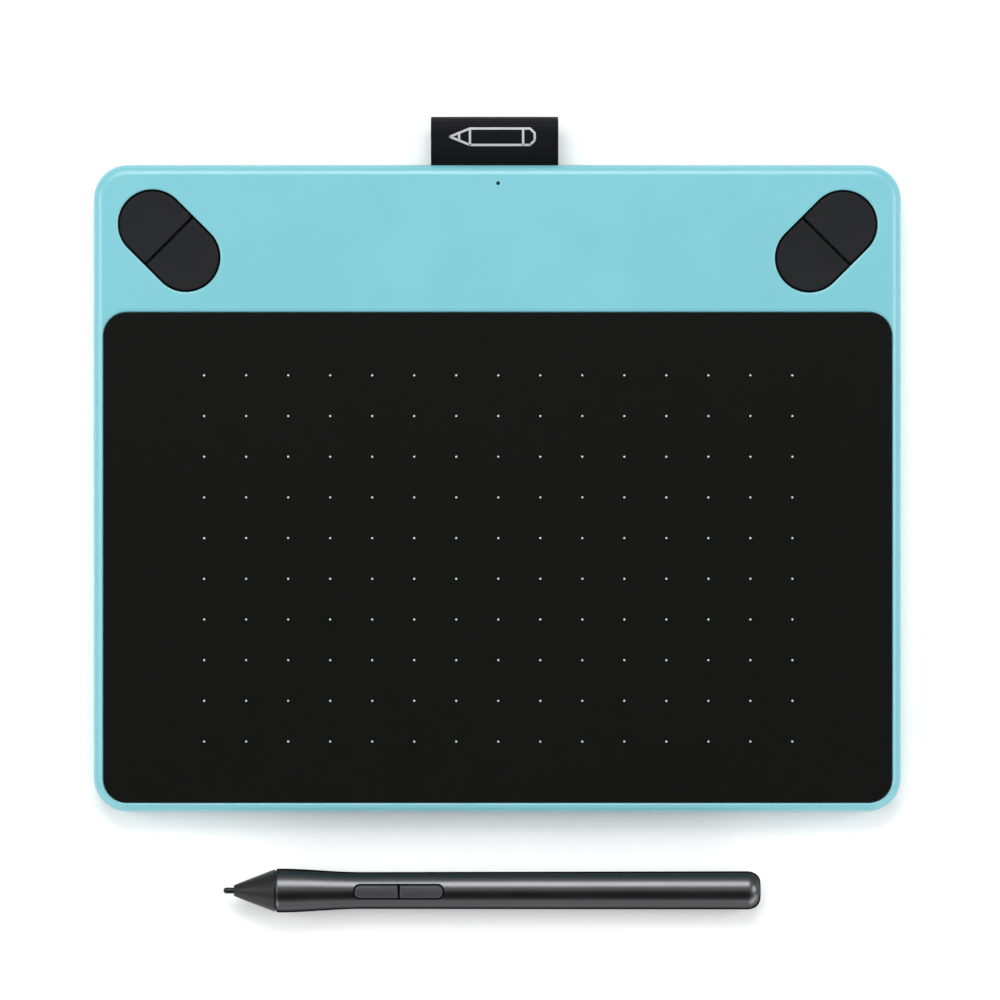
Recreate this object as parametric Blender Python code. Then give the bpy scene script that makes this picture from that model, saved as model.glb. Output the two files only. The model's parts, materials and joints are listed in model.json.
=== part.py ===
"""Pen drawing tablet with its pen: a flat tablet in two cover shells, four corner keys, a fabric pen loop,
a sliding accessory door underneath, and a two-button pen lying in front of it.

Every number is in millimetres and MM turns it into metres. The tablet's frame has X to the right, Y to the
rear edge and Z up from the table, with its origin under the middle of the tablet. The pen's own frame has X
from the nib's point to the rear end and Z up through its two buttons.
"""

from math import asin, atan2, cos, degrees, hypot, pi, radians, sin

import bmesh
import bpy
from mathutils import Vector

MM = 0.001

# Clearance between pieces that touch or rest on each other on the real object
GAP = 0.3

# Tablet: outer form
WIDTH = 210.0
DEPTH = 168.3
TOP_Z = 10.0
UNDERSIDE_Z = 0.8
CORNER_R = 8.9
TOP_FILLET = 2.8
SIDE_DRAFT = 0.25
UNDER_ROUND = 3.2
PARTING_Z = 4.6
PARTING_GAP = 0.2
WALL = 1.6
ROOF = 1.9
CEILING_Z = TOP_Z - ROOF
LIP_INSET = (1.95, 2.85)
LIP_TOP_Z = 5.6
FLOOR_TOP_Z = UNDERSIDE_Z + WALL
REAR_Y = DEPTH / 2
CORNER_STEPS = 7
FILLET_STEPS = 5

# Drawing surface: a thin textured sheet glued into a shallow recess
SHEET_WIDTH = 204.9
SHEET_MIDDLE_X = 0.1
SHEET_REAR_Y = 45.8
SHEET_FRONT_Y = -81.7
SHEET_CORNER_R = 6.4
SHEET_DEPTH = SHEET_REAR_Y - SHEET_FRONT_Y
SHEET_MIDDLE_Y = (SHEET_REAR_Y + SHEET_FRONT_Y) / 2
SHEET_THICK = 0.4
SHEET_SIDE_GAP = 0.2
SHEET_TOP_Z = 9.85
RECESS_FLOOR_Z = SHEET_TOP_Z - SHEET_THICK - GAP

# Corner keys: two half capsules in each slanted well
WELL_WIDTH = 18.0
WELL_LENGTH = 30.3
WELL_PLACES = {"left": (-85.1, 64.2), "right": (85.3, 64.05)}
WELL_SLANT = radians(45)
KEY_SIDE_GAP = 0.42
KEY_SPLIT = 0.7
KEY_FLANGE = 1.0
KEY_FLANGE_TOP_Z = CEILING_Z - GAP
KEY_BOTTOM_Z = KEY_FLANGE_TOP_Z - 0.7
KEY_SWITCH_OFFSET = 7.2
KEY_SWITCH_TOP_Z = 6.2

# Boards inside
BOARD_OUTLINE = (60.0, 101.4, 44.5, 76.2, 79.7, 6.0)
BOARD_BOTTOM_Z = 3.6
BOARD_TOP_Z = 4.6
ON_BOARD_Z = BOARD_TOP_Z + GAP
SENSOR_HALF_X = 86.0
SENSOR_FRONT_Y = -72.0
SENSOR_REAR_Y = 43.5
SENSOR_Z = (7.0, 7.8)
SHIELD_Z = (6.4, 6.7)
LED_X = 0.2
LED_Y = 79.1
LED_HOLE_R = 0.6
USB_Y = 52.0
USB_WIDTH = 7.5
USB_HEIGHT = 2.6

# Pen loop: one woven ribbon folded into a teardrop
RIBBON = 0.7
RIBBON_GAP = 0.15
LOOP_WIDTH = 33.1
LOOP_X = -0.7
LOOP_Z = 6.0
LOOP_R = 3.6
LOOP_REACH = 12.45
LOOP_REAR_Y = REAR_Y + LOOP_REACH
LOOP_INNER_END_Y = 80.8
ANCHOR_Y = (80.0, 81.2)
ANCHOR_WALL = 0.4

# Accessory bay under the door
DOOR_HALF_X = 55.8
DOOR_TONGUE = 1.2
DOOR_FRONT_Y = 43.0
DOOR_TOP_Z = 2.1
TONGUE_Z = 1.65
LEDGE_Z = DOOR_TOP_Z + GAP
LEDGE_THICK = 1.0
TUB_HALF_X = 48.0
TUB_Y = (46.8, 75.0)
TUB_TOP_Z = 7.7
BAY_CEILING_Z = 7.0
BAY_Y = (48.0, 70.0)
BAY_END_X = 46.8
BAY_DIVIDE_X = (11.0, 12.2)
NIB_GROOVE_Y = (71.2, 73.8)
SPARE_NIB_X = (-30.0, 0.0, 30.0)
NIB_RING_PLACE = (52.0, 70.4)
NIB_RING_R = 3.9

# Feet and screws
FOOT_X = 91.0
FOOT_Y = 71.0
FOOT_R = 5.0
FOOT_RECESS_Z = 1.5
SCREW_HEAD_R = 1.9
SCREW_HEAD_H = 1.2
SCREW_SHANK_R = 0.95
SCREW_LENGTH = 4.6
FRONT_SEAT_Z = 3.0
REAR_SEAT_Z = 3.8
REAR_SCREW_X = 52.0
REAR_SCREW_Y = 60.0

# Pen, in its own frame
PEN_LENGTH = 139.6
PEN_TIP_X = -71.2
PEN_Y = -104.6
NOSE_TIP_X = 2.7
NOSE_TIP_R = 1.45
NOSE_END_X = 13.35
NOSE_R = 5.45
BARREL_START_X = 13.85
FLARE_X = 14.6
FLARE_R = 5.7
WAIST_X = 36.0
WAIST_R = 4.78
BUTT_X = 137.2
BUTT_R = 4.97
BUTT_FILLET = 2.4
BORE_R = 3.9
SWITCH_X = 45.6
SWITCH_LENGTH = 23.6
SWITCH_WIDTH = 4.1
SWITCH_GAP = 0.32
SWITCH_SPLIT = 0.45
SWITCH_TOP_Z = 5.1
NIB_R = 0.8
PEN_STEPS = 28

# The middle of the whole set, from the loop's rear to the pen's flare, lies over the origin
SET_MIDDLE_Y = (LOOP_REAR_Y + PEN_Y - FLARE_R) / 2


# ---------------------------------------------------------------- materials


def material(name, colour, roughness, metallic=0.0):
    made = bpy.data.materials.new(name)
    made.use_nodes = True
    shader = made.node_tree.nodes["Principled BSDF"]
    shader.inputs["Base Color"].default_value = (*colour, 1.0)
    shader.inputs["Roughness"].default_value = roughness
    shader.inputs["Metallic"].default_value = metallic
    return made


def make_materials():
    return {
        "mint": material("mint_plastic", (0.23, 0.62, 0.70), 0.45),
        "sheet": material("drawing_sheet", (0.012, 0.013, 0.013), 0.62),
        "key": material("key_plastic", (0.028, 0.028, 0.031), 0.55),
        "ribbon": material("woven_ribbon", (0.010, 0.010, 0.012), 0.85),
        "rubber": material("foot_rubber", (0.035, 0.036, 0.038), 0.8),
        "steel": material("steel", (0.60, 0.60, 0.62), 0.35, 1.0),
        "brass": material("contact_metal", (0.75, 0.62, 0.34), 0.35, 1.0),
        "copper": material("copper_wire", (0.72, 0.38, 0.20), 0.4, 1.0),
        "board": material("circuit_board", (0.02, 0.16, 0.07), 0.5),
        "chip": material("chip_plastic", (0.015, 0.015, 0.016), 0.5),
        "film": material("flex_film", (0.55, 0.27, 0.05), 0.4),
        "clear": material("clear_plastic", (0.75, 0.82, 0.84), 0.15),
        "white": material("white_plastic", (0.75, 0.75, 0.73), 0.5),
        "barrel": material("pen_plastic", (0.050, 0.050, 0.054), 0.32),
        "nose": material("pen_nose_plastic", (0.040, 0.040, 0.042), 0.55),
        "nib": material("nib_plastic", (0.030, 0.030, 0.032), 0.4),
        "ferrite": material("ferrite", (0.045, 0.043, 0.045), 0.6),
    }


# ---------------------------------------------------------------- outlines, all in millimetres


def arc(cx, cy, radius, start, end, steps):
    """Points on an arc, both ends included, with the angles in degrees."""
    angles = [radians(start + (end - start) * i / steps) for i in range(steps + 1)]
    return [(cx + radius * cos(a), cy + radius * sin(a)) for a in angles]


def circle(radius, steps):
    return arc(0, 0, radius, 0, 360 * (steps - 1) / steps, steps - 1)


def rounded_rectangle(width, depth, radius, inset=0.0, middle=(0.0, 0.0)):
    r = max(radius - inset, 0.4)
    x, y = width / 2 - inset - r, depth / 2 - inset - r
    points = []
    for cx, cy, start in [(x, y, 0), (-x, y, 90), (-x, -y, 180), (x, -y, 270)]:
        points += arc(cx + middle[0], cy + middle[1], r, start, start + 90, CORNER_STEPS)
    return points


def capsule(width, length, inset=0.0, steps=12):
    r = width / 2 - inset
    x = length / 2 - width / 2
    return arc(x, 0, r, -90, 90, steps) + arc(-x, 0, r, 90, 270, steps)


def half_capsule(radius, start, end, steps=12):
    """The half of a capsule with x from start, where it is cut square, to end, where it is round."""
    return [(start, radius), (start, -radius)] + arc(end - radius, 0, radius, -90, 90, steps)


# ---------------------------------------------------------------- solids


def skin(name, rings, look=None, parent=None, place=(0, 0, 0), turn=0.0, hollow=False):
    """One closed solid through rings of points with the same count.

    The first and the last ring are capped, or joined to each other where the solid has a hole right through.
    """
    mesh = bpy.data.meshes.new(name)
    bm = bmesh.new()
    rows = [[bm.verts.new(Vector(point) * MM) for point in ring] for ring in rings]
    pairs = list(zip(rows, rows[1:]))
    if hollow:
        pairs.append((rows[-1], rows[0]))
    else:
        bm.faces.new(rows[0])
        bm.faces.new(rows[-1])
    for low, high in pairs:
        for i, j in zip(range(-1, len(low) - 1), range(len(low))):
            bm.faces.new((low[i], low[j], high[j], high[i]))
    bmesh.ops.recalc_face_normals(bm, faces=bm.faces)
    bm.to_mesh(mesh)
    bm.free()
    mesh.shade_smooth()
    mesh.set_sharp_from_angle(angle=radians(35))
    if look:
        mesh.materials.append(look)
    made = bpy.data.objects.new(name, mesh)
    bpy.context.scene.collection.objects.link(made)
    made.parent = parent
    made.location = Vector(place) * MM
    made.rotation_euler.z = turn
    return made


def stack(name, outlines, look=None, **where):
    """A solid through (outline, z) pairs."""
    return skin(name, [[(x, y, z) for x, y in outline] for outline, z in outlines], look, **where)


def prism(name, outline, z, look=None, **where):
    return stack(name, [(outline, z[0]), (outline, z[1])], look, **where)


def box(name, x, y, z, look=None, **where):
    return prism(name, [(x[0], y[0]), (x[1], y[0]), (x[1], y[1]), (x[0], y[1])], z, look, **where)


def rod(name, radius, z, look=None, steps=20, **where):
    return prism(name, circle(radius, steps), z, look, **where)


def along_x(name, section, x, look=None, **where):
    """A solid whose (y, z) section runs from x[0] to x[1]."""
    return skin(name, [[(at, y, z) for y, z in section] for at in x], look, **where)


def along_y(name, section, y, look=None, **where):
    """A solid whose (x, z) section runs from y[0] to y[1]."""
    return skin(name, [[(x, at, z) for x, z in section] for at in y], look, **where)


def turned(name, profile, look=None, steps=PEN_STEPS, **where):
    """A solid turned about X through (x, radius) points."""
    rings = [[(x, r * u, r * v) for u, v in circle(1, steps)] for x, r in profile]
    return skin(name, rings, look, **where)


def boolean(target, tool, operation):
    tool.hide_render = True
    tool.display_type = "WIRE"
    step = target.modifiers.new(f"{operation.lower()}_{tool.name}", "BOOLEAN")
    step.operation = operation
    step.object = tool


def cut(target, *tools):
    for tool in tools:
        boolean(target, tool, "DIFFERENCE")


def join(target, *tools):
    for tool in tools:
        boolean(target, tool, "UNION")


def empty(name, place=(0, 0, 0), tilt=0.0, parent=None):
    made = bpy.data.objects.new(name, None)
    bpy.context.scene.collection.objects.link(made)
    made.parent = parent
    made.location = Vector(place) * MM
    made.rotation_euler.y = tilt
    return made


# ---------------------------------------------------------------- tablet covers


def body_rings(profile):
    return [(rounded_rectangle(WIDTH, DEPTH, CORNER_R, inset), z) for inset, z in profile]


def sheet_outline(inset):
    middle = (SHEET_MIDDLE_X, SHEET_MIDDLE_Y)
    return rounded_rectangle(SHEET_WIDTH, SHEET_DEPTH, SHEET_CORNER_R, inset, middle)


def under_profile():
    """(inset, z) of the bottom cover's outside, from the parting line down to the flat underside."""
    edge = arc(0.12 + UNDER_ROUND, UNDERSIDE_Z + UNDER_ROUND, UNDER_ROUND, 180, 270, FILLET_STEPS)
    return [(0.05, PARTING_Z - PARTING_GAP)] + edge


def well_places():
    """(side name, place, slant) of the two key wells. Each runs from the outer rear to the inner front."""
    slants = {"left": -WELL_SLANT, "right": pi + WELL_SLANT}
    return [(side, (x, y, 0), slants[side]) for side, (x, y) in WELL_PLACES.items()]


def screw_places():
    """(name, x, y, z of the seat under the head) of the four screws that hold the covers together."""
    places = []
    for side, sign in (("left", -1), ("right", 1)):
        places.append((f"front_{side}", sign * FOOT_X, -FOOT_Y, FRONT_SEAT_Z))
        places.append((f"rear_{side}", sign * REAR_SCREW_X, REAR_SCREW_Y, REAR_SEAT_Z))
    return places


def foot_places():
    ends = [("front", -FOOT_Y), ("rear", FOOT_Y)]
    sides = [("left", -FOOT_X), ("right", FOOT_X)]
    return [(f"foot_{end}_{side}", x, y) for end, y in ends for side, x in sides]


def make_top_cover(looks, tablet):
    shoulder = SIDE_DRAFT + TOP_FILLET
    inner = [(shoulder + 0.4, CEILING_Z), (WALL + 0.5, CEILING_Z - 0.9), (WALL, PARTING_Z)]
    outer = [(0, PARTING_Z)] + arc(shoulder, TOP_Z - TOP_FILLET, TOP_FILLET, 180, 90, FILLET_STEPS)
    cover = stack("top_cover", body_rings(inner + outer), looks["mint"], parent=tablet)

    for name, x, y, seat_z in screw_places():
        where = dict(place=(x, y, 0), parent=tablet)
        join(cover, rod(f"post_{name}", 2.6, (seat_z + 1.5, CEILING_Z + 0.3), **where))
        cut(cover, rod(f"pilot_{name}", SCREW_SHANK_R + 0.25, (seat_z, seat_z + 5.1), steps=12, **where))

    recess = [(0.0, RECESS_FLOOR_Z), (0.0, TOP_Z - 0.3), (-0.3, TOP_Z), (-0.5, TOP_Z + 0.5)]
    cut(cover, stack("sheet_recess", [(sheet_outline(inset), z) for inset, z in recess], parent=tablet))

    well = [(0.0, CEILING_Z - 1.0), (0.0, TOP_Z - 0.25), (-0.25, TOP_Z), (-0.5, TOP_Z + 0.5)]
    well = [(capsule(WELL_WIDTH, WELL_LENGTH, inset), z) for inset, z in well]
    for side, place, slant in well_places():
        cut(cover, stack(f"key_well_{side}", well, place=place, turn=slant, parent=tablet))

    cut(cover, rod("led_hole", LED_HOLE_R, (7.0, 11.0), steps=12, place=(LED_X, LED_Y, 0), parent=tablet))
    half = LOOP_WIDTH / 2 + GAP
    slot_z = (PARTING_Z - 0.5, LOOP_Z + RIBBON + 0.4)
    cut(cover, box("loop_slot", (LOOP_X - half, LOOP_X + half), (80, REAR_Y + 2), slot_z, parent=tablet))
    half = USB_WIDTH / 2 + GAP
    port_z = (PARTING_Z - 0.5, ON_BOARD_Z + USB_HEIGHT + GAP)
    cut(cover, box("usb_opening", (-107, -101), (USB_Y - half, USB_Y + half), port_z, parent=tablet))


def make_bottom_cover(looks, tablet):
    outer_lip, inner_lip = LIP_INSET
    inner = [(5.0, FLOOR_TOP_Z), (3.2, 3.0), (inner_lip, 3.8), (inner_lip, LIP_TOP_Z)]
    step = [(outer_lip, LIP_TOP_Z), (outer_lip, PARTING_Z - PARTING_GAP)]
    cover = stack("bottom_cover", body_rings(inner + step + under_profile()), looks["mint"], parent=tablet)
    add_bay(cover, tablet)
    add_ribs(cover, tablet)
    cut_bay(cover, tablet)

    for name, x, y, seat_z in screw_places():
        where = dict(place=(x, y, 0), parent=tablet)
        join(cover, rod(f"boss_{name}", 3.4, (FLOOR_TOP_Z - 0.2, seat_z + 1.2), **where))
        cut(cover, rod(f"bore_{name}", SCREW_HEAD_R + GAP, (0, seat_z), **where))
        cut(cover, rod(f"hole_{name}", SCREW_SHANK_R + GAP, (seat_z - 0.5, seat_z + 2), steps=12, **where))
    for name, x, y in foot_places():
        cut(cover, rod(f"recess_{name}", FOOT_R + 0.2, (0, FOOT_RECESS_Z), place=(x, y, 0), parent=tablet))

    half = LOOP_WIDTH / 2 + 3.5
    cut(cover, box("loop_notch", (LOOP_X - half, LOOP_X + half), (79, 82.6), (4.9, 6.5), parent=tablet))
    cut(cover, box("usb_notch", (-103.6, -100), (USB_Y - 4.6, USB_Y + 4.6), (4.45, 6.5), parent=tablet))


def add_bay(cover, tablet):
    """The raised floor that carries the door, and on it the tub for the battery and the radio module."""
    ledge_z = (FLOOR_TOP_Z - 0.2, LEDGE_Z + LEDGE_THICK)
    join(cover, box("bay_ledge", (-59, 59), (40.5, 82), ledge_z, parent=tablet))
    tub_z = (ledge_z[1] - 0.2, TUB_TOP_Z)
    join(cover, box("bay_tub", (-TUB_HALF_X, TUB_HALF_X), TUB_Y, tub_z, parent=tablet))
    where = dict(place=(*NIB_RING_PLACE, 0), parent=tablet)
    join(cover, rod("ring_boss", 4.9, (ledge_z[1] - 0.2, 4.9), **where))


def add_ribs(cover, tablet):
    """A grid of ribs that stiffens the floor and backs the shield plate under the drawing area."""
    low = FLOOR_TOP_Z - 0.2
    for i, x in enumerate((-62, -31, 0, 31, 62)):
        rib_z = (low, SHIELD_Z[0] - GAP)
        join(cover, box(f"long_rib_{i}", (x - 0.5, x + 0.5), (-74, 38), rib_z, parent=tablet))
    for i, y in enumerate((-55, -18, 19)):
        rib_z = (low, SHIELD_Z[0] - GAP - 0.4)
        join(cover, box(f"cross_rib_{i}", (-80, 80), (y - 0.5, y + 0.5), rib_z, parent=tablet))


def cut_bay(cover, tablet):
    lower, upper = DOOR_HALF_X + GAP, DOOR_HALF_X + DOOR_TONGUE + GAP
    section = door_section(lower, upper, (-1.0, TONGUE_Z - GAP, LEDGE_Z))
    cut(cover, along_y("door_opening", section, (DOOR_FRONT_Y - GAP, REAR_Y + 6), parent=tablet))
    bay_z = (LEDGE_Z - 0.5, BAY_CEILING_Z)
    cut(cover, box("battery_bay", (-BAY_END_X, BAY_DIVIDE_X[0]), BAY_Y, bay_z, parent=tablet))
    cut(cover, box("module_bay", (BAY_DIVIDE_X[1], BAY_END_X), BAY_Y, bay_z, parent=tablet))
    cut(cover, box("nib_groove", (-45, 45), NIB_GROOVE_Y, (LEDGE_Z - 0.5, 4.7), parent=tablet))
    where = dict(place=(*NIB_RING_PLACE, 0), parent=tablet)
    cut(cover, rod("ring_pocket", NIB_RING_R + GAP, (LEDGE_Z - 0.5, 4.2), **where))


def door_section(lower, upper, z):
    """(x, z) section of the door or its opening, with its half widths at the skin and at the tongues."""
    right = [(lower, z[0]), (lower, z[1]), (upper, z[1]), (upper, z[2])]
    return right + [(-x, at) for x, at in reversed(right)]


def make_accessory_door(looks, tablet):
    section = door_section(DOOR_HALF_X, DOOR_HALF_X + DOOR_TONGUE, (0.0, TONGUE_Z, DOOR_TOP_Z))
    door = along_y("accessory_door", section, (DOOR_FRONT_Y, REAR_Y + 6), looks["mint"], parent=tablet)
    form = [(4.9, PARTING_Z)] + under_profile()
    boolean(door, stack("under_form", body_rings(form), parent=tablet), "INTERSECT")
    for i in range(3):
        place = (0, DOOR_FRONT_Y + 5.0 + 2.4 * i, 0)
        groove = prism(f"thumb_groove_{i}", capsule(1.2, 16, steps=6), (0, 1.2), place=place, parent=tablet)
        cut(door, groove)


def make_drawing_surface(looks, tablet):
    z = (SHEET_TOP_Z - SHEET_THICK, SHEET_TOP_Z)
    prism("drawing_surface", sheet_outline(SHEET_SIDE_GAP), z, looks["sheet"], parent=tablet)


def make_feet(looks, tablet):
    profile = [(FOOT_R - 0.5, 0.0), (FOOT_R, 0.4), (FOOT_R, FOOT_RECESS_Z - GAP)]
    for name, x, y in foot_places():
        stack(name, [(circle(r, 24), z) for r, z in profile], looks["rubber"], place=(x, y, 0), parent=tablet)


def make_screw(name, x, y, seat_z, looks, tablet):
    top_z = seat_z - GAP
    head_z = top_z - SCREW_HEAD_H
    profile = [
        (SCREW_HEAD_R - 0.4, head_z),
        (SCREW_HEAD_R, head_z + 0.4),
        (SCREW_HEAD_R, top_z),
        (SCREW_SHANK_R, top_z),
        (SCREW_SHANK_R, top_z + SCREW_LENGTH - 0.6),
        (0.4, top_z + SCREW_LENGTH),
    ]
    rings = [(circle(r, 12), z) for r, z in profile]
    screw = stack(f"screw_{name}", rings, looks["steel"], place=(x, y, 0), parent=tablet)
    for i in range(2):
        arm_z = (head_z - 1, head_z + 0.7)
        arm = box(f"cross_{name}_{i}", (-1.1, 1.1), (-0.25, 0.25), arm_z, parent=screw, turn=i * pi / 2)
        cut(screw, arm)


# ---------------------------------------------------------------- keys


def key_outlines(radius, start, end, levels, steps):
    """Outlines of a half-capsule button: the flange that holds it in, then its cap with a soft edge."""
    flange_z, cap_z, overhang = levels
    flange = half_capsule(radius + overhang, start + 0.1, end + overhang, steps)
    outlines = [(flange, flange_z[0]), (flange, flange_z[1])]
    for inset, z in [(0.0, flange_z[1]), (0.0, cap_z - 0.35), (0.1, cap_z - 0.1), (0.35, cap_z)]:
        outlines.append((half_capsule(radius - inset, start + inset, end - inset, steps), z))
    return outlines


def make_keys(looks, tablet):
    radius = WELL_WIDTH / 2 - KEY_SIDE_GAP
    end = WELL_LENGTH / 2 - KEY_SIDE_GAP
    levels = ((KEY_BOTTOM_Z, KEY_FLANGE_TOP_Z), TOP_Z, KEY_FLANGE)
    outlines = key_outlines(radius, KEY_SPLIT / 2, end, levels, 12)
    for side, place, slant in well_places():
        for half, turn in (("inner", slant), ("outer", slant + pi)):
            name = f"key_{side}_{half}"
            stack(name, outlines, looks["key"], place=place, turn=turn, parent=tablet)
            x, y, z = place
            spot = (x + KEY_SWITCH_OFFSET * cos(turn), y + KEY_SWITCH_OFFSET * sin(turn), z)
            make_key_switch(name, spot, looks, tablet)


def make_key_switch(name, spot, looks, tablet):
    """A tact switch on the main board, and the plunger that the key pushes into it."""
    where = dict(place=spot, parent=tablet)
    case = box(f"{name}_switch", (-3, 3), (-3, 3), (ON_BOARD_Z, KEY_SWITCH_TOP_Z), looks["chip"], **where)
    bore_z = (ON_BOARD_Z + 0.3, KEY_SWITCH_TOP_Z + 1)
    cut(case, rod(f"{name}_switch_bore", 1.9, bore_z, steps=16, **where))
    rod(f"{name}_plunger", 1.6, (ON_BOARD_Z + 0.9, KEY_BOTTOM_Z - GAP), looks["white"], steps=16, **where)


# ---------------------------------------------------------------- boards and what is on them


def make_boards(looks, tablet):
    sensor_x = (-SENSOR_HALF_X, SENSOR_HALF_X)
    box("sensor_board", sensor_x, (SENSOR_FRONT_Y, SENSOR_REAR_Y), SENSOR_Z, looks["board"], parent=tablet)
    shield_x = (1 - SENSOR_HALF_X, SENSOR_HALF_X - 1)
    box("shield_plate", shield_x, (SENSOR_FRONT_Y + 1, 37), SHIELD_Z, looks["steel"], parent=tablet)

    wing_x, side_x, front_y, strip_y, rear_y, corner = BOARD_OUTLINE
    right = [(wing_x, front_y), (side_x, front_y), (side_x, rear_y - corner), (side_x - corner, rear_y)]
    left = [(-x, y) for x, y in reversed(right)]
    outline = [(wing_x, strip_y), *right, *left, (-wing_x, strip_y)]
    prism("main_board", outline, (BOARD_BOTTOM_Z, BOARD_TOP_Z), looks["board"], parent=tablet)

    low = ON_BOARD_Z
    box("controller_chip", (-74, -67), (66, 73), (low, low + 0.9), looks["chip"], parent=tablet)
    box("sensor_chip", (64, 70), (52, 58), (low, low + 0.9), looks["chip"], parent=tablet)
    box("flex_connector", (-76, -62), (48.5, 51.5), (low, low + 1.2), looks["white"], parent=tablet)
    led_x, led_y = (LED_X - 0.8, LED_X + 0.8), (LED_Y - 0.4, LED_Y + 0.4)
    box("status_led", led_x, led_y, (low, low + 0.6), looks["white"], parent=tablet)


def make_flex_cable(looks, tablet):
    """A flat film from under the sensor board down to its connector on the main board."""
    high, low = SENSOR_Z[0] - GAP, ON_BOARD_Z + 0.8
    top = [(38.5, high), (44.0, high), (45.8, high - 0.3), (46.8, low + 0.1), (48.2, low)]
    bottom = [(y - 0.05, z - 0.2) for y, z in reversed(top)]
    along_x("flex_cable", top + bottom, (-75, -63), looks["film"], parent=tablet)


def make_usb_socket(looks, tablet):
    """A micro-USB socket: a folded steel shell, open to the left, with a tongue inside."""
    low, high = ON_BOARD_Z, ON_BOARD_Z + USB_HEIGHT
    half, chamfer = USB_WIDTH / 2, 0.9
    right = [(half - chamfer, low), (half, low + chamfer), (half, high)]
    section = right + [(-y, z) for y, z in reversed(right)]
    mouth_x, back_x = -104.3, -98.9
    middle_z = (low + high) / 2
    hollow = [(y * 0.9, middle_z + (z - middle_z) * 0.76) for y, z in section]
    where = dict(place=(0, USB_Y, 0), parent=tablet)
    socket = along_x("usb_socket", section, (mouth_x, back_x), looks["steel"], **where)
    cut(socket, along_x("usb_mouth", hollow, (mouth_x - 1, back_x - 0.6), **where))
    tongue_z = (middle_z + 0.05, middle_z + 0.6)
    join(socket, box("usb_tongue", (-103.6, back_x - 0.3), (-1.8, 1.8), tongue_z, **where))


def make_light_guide(looks, tablet):
    collar_z, pin_r = CEILING_Z - GAP, LED_HOLE_R - 0.25
    profile = [(0.8, ON_BOARD_Z + 0.9), (0.8, collar_z), (pin_r, collar_z), (pin_r, TOP_Z - 0.15)]
    rings = [(circle(r, 12), z) for r, z in profile]
    stack("light_guide", rings, looks["clear"], place=(LED_X, LED_Y, 0), parent=tablet)


def make_bay_fittings(looks, tablet):
    """What the bay holds as sold: contacts, a connector, three spare nibs and the ring that pulls nibs."""
    x = -BAY_END_X + GAP
    section = [(x, 3.0), (x + 1.2, 4.6), (x, 6.2), (x + 0.3, 6.3), (x + 1.5, 4.6), (x + 0.3, 2.9)]
    for end, y in (("front", 53.0), ("rear", 65.0)):
        along_y(f"battery_contact_{end}", section, (y - 1.6, y + 1.6), looks["brass"], parent=tablet)
    x, z = (BAY_END_X - 2.4, BAY_END_X - GAP), (4.2, BAY_CEILING_Z - GAP)
    box("module_connector", x, (53.5, 64.5), z, looks["chip"], parent=tablet)

    profile = [(-10, 0.35), (-9.6, NIB_R - 0.1), (-9.0, NIB_R), (9.4, NIB_R - 0.05), (10, 0.4)]
    y, z = sum(NIB_GROOVE_Y) / 2, LEDGE_Z + GAP + NIB_R
    for i, x in enumerate(SPARE_NIB_X):
        turned(f"spare_nib_{i + 1}", profile, looks["nib"], steps=10, place=(x, y, z), parent=tablet)

    where = dict(place=(*NIB_RING_PLACE, 0), parent=tablet)
    ring = rod("nib_ring", NIB_RING_R, (LEDGE_Z + GAP, LEDGE_Z + 1.5), looks["steel"], steps=24, **where)
    cut(ring, rod("nib_ring_hole", NIB_RING_R - 1.3, (2.0, 4.5), steps=24, **where))
    cut(ring, box("nib_ring_slit", (-0.4, 0.4), (0, 6), (2.0, 4.5), **where))


# ---------------------------------------------------------------- pen loop


def loop_line(offset):
    """(y, z) points of the loop, offset from the ribbon's middle: out of the slot, round, and back in."""
    middle_r = LOOP_R - RIBBON / 2
    middle_y = LOOP_REAR_Y - LOOP_R
    half_gap = (RIBBON + RIBBON_GAP) / 2
    mouth_y = REAR_Y - 0.4
    reach = middle_y - mouth_y
    slope = asin(middle_r / hypot(reach, half_gap)) - atan2(half_gap, reach)
    sweep = 90 + degrees(slope)
    turn = arc(middle_y, LOOP_Z, middle_r + offset, -sweep, sweep, 14)
    lower = [(LOOP_INNER_END_Y, LOOP_Z - half_gap - offset), (mouth_y, LOOP_Z - half_gap - offset)]
    upper = [(y, 2 * LOOP_Z - z) for y, z in reversed(lower)]
    return lower + turn + upper


def make_pen_loop(looks, tablet):
    section = loop_line(RIBBON / 2) + list(reversed(loop_line(-RIBBON / 2)))
    x = (LOOP_X - LOOP_WIDTH / 2, LOOP_X + LOOP_WIDTH / 2)
    along_x("pen_loop", section, x, looks["ribbon"], parent=tablet)

    front_y, rear_y = ANCHOR_Y
    groove_y = LOOP_INNER_END_Y - GAP
    inside = RIBBON + RIBBON_GAP / 2 + GAP
    outside = inside + ANCHOR_WALL
    lower = [(front_y, -outside), (rear_y, -outside), (rear_y, -inside), (groove_y, -inside)]
    section = [(y, LOOP_Z + z) for y, z in lower + [(y, -z) for y, z in reversed(lower)]]
    x = (LOOP_X - LOOP_WIDTH / 2 - 2.5, LOOP_X + LOOP_WIDTH / 2 + 2.5)
    along_x("loop_anchor", section, x, looks["white"], parent=tablet)


# ---------------------------------------------------------------- pen


def barrel_radius(x):
    """The barrel's outside: a flare at the grip that eases into a long, very slightly widening shaft."""
    if x < WAIST_X:
        t = (WAIST_X - x) / (WAIST_X - FLARE_X)
        return WAIST_R + (FLARE_R - WAIST_R) * t * t * (3 - 2 * t)
    return WAIST_R + (BUTT_R - WAIST_R) * (x - WAIST_X) / (BUTT_X - WAIST_X)


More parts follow.
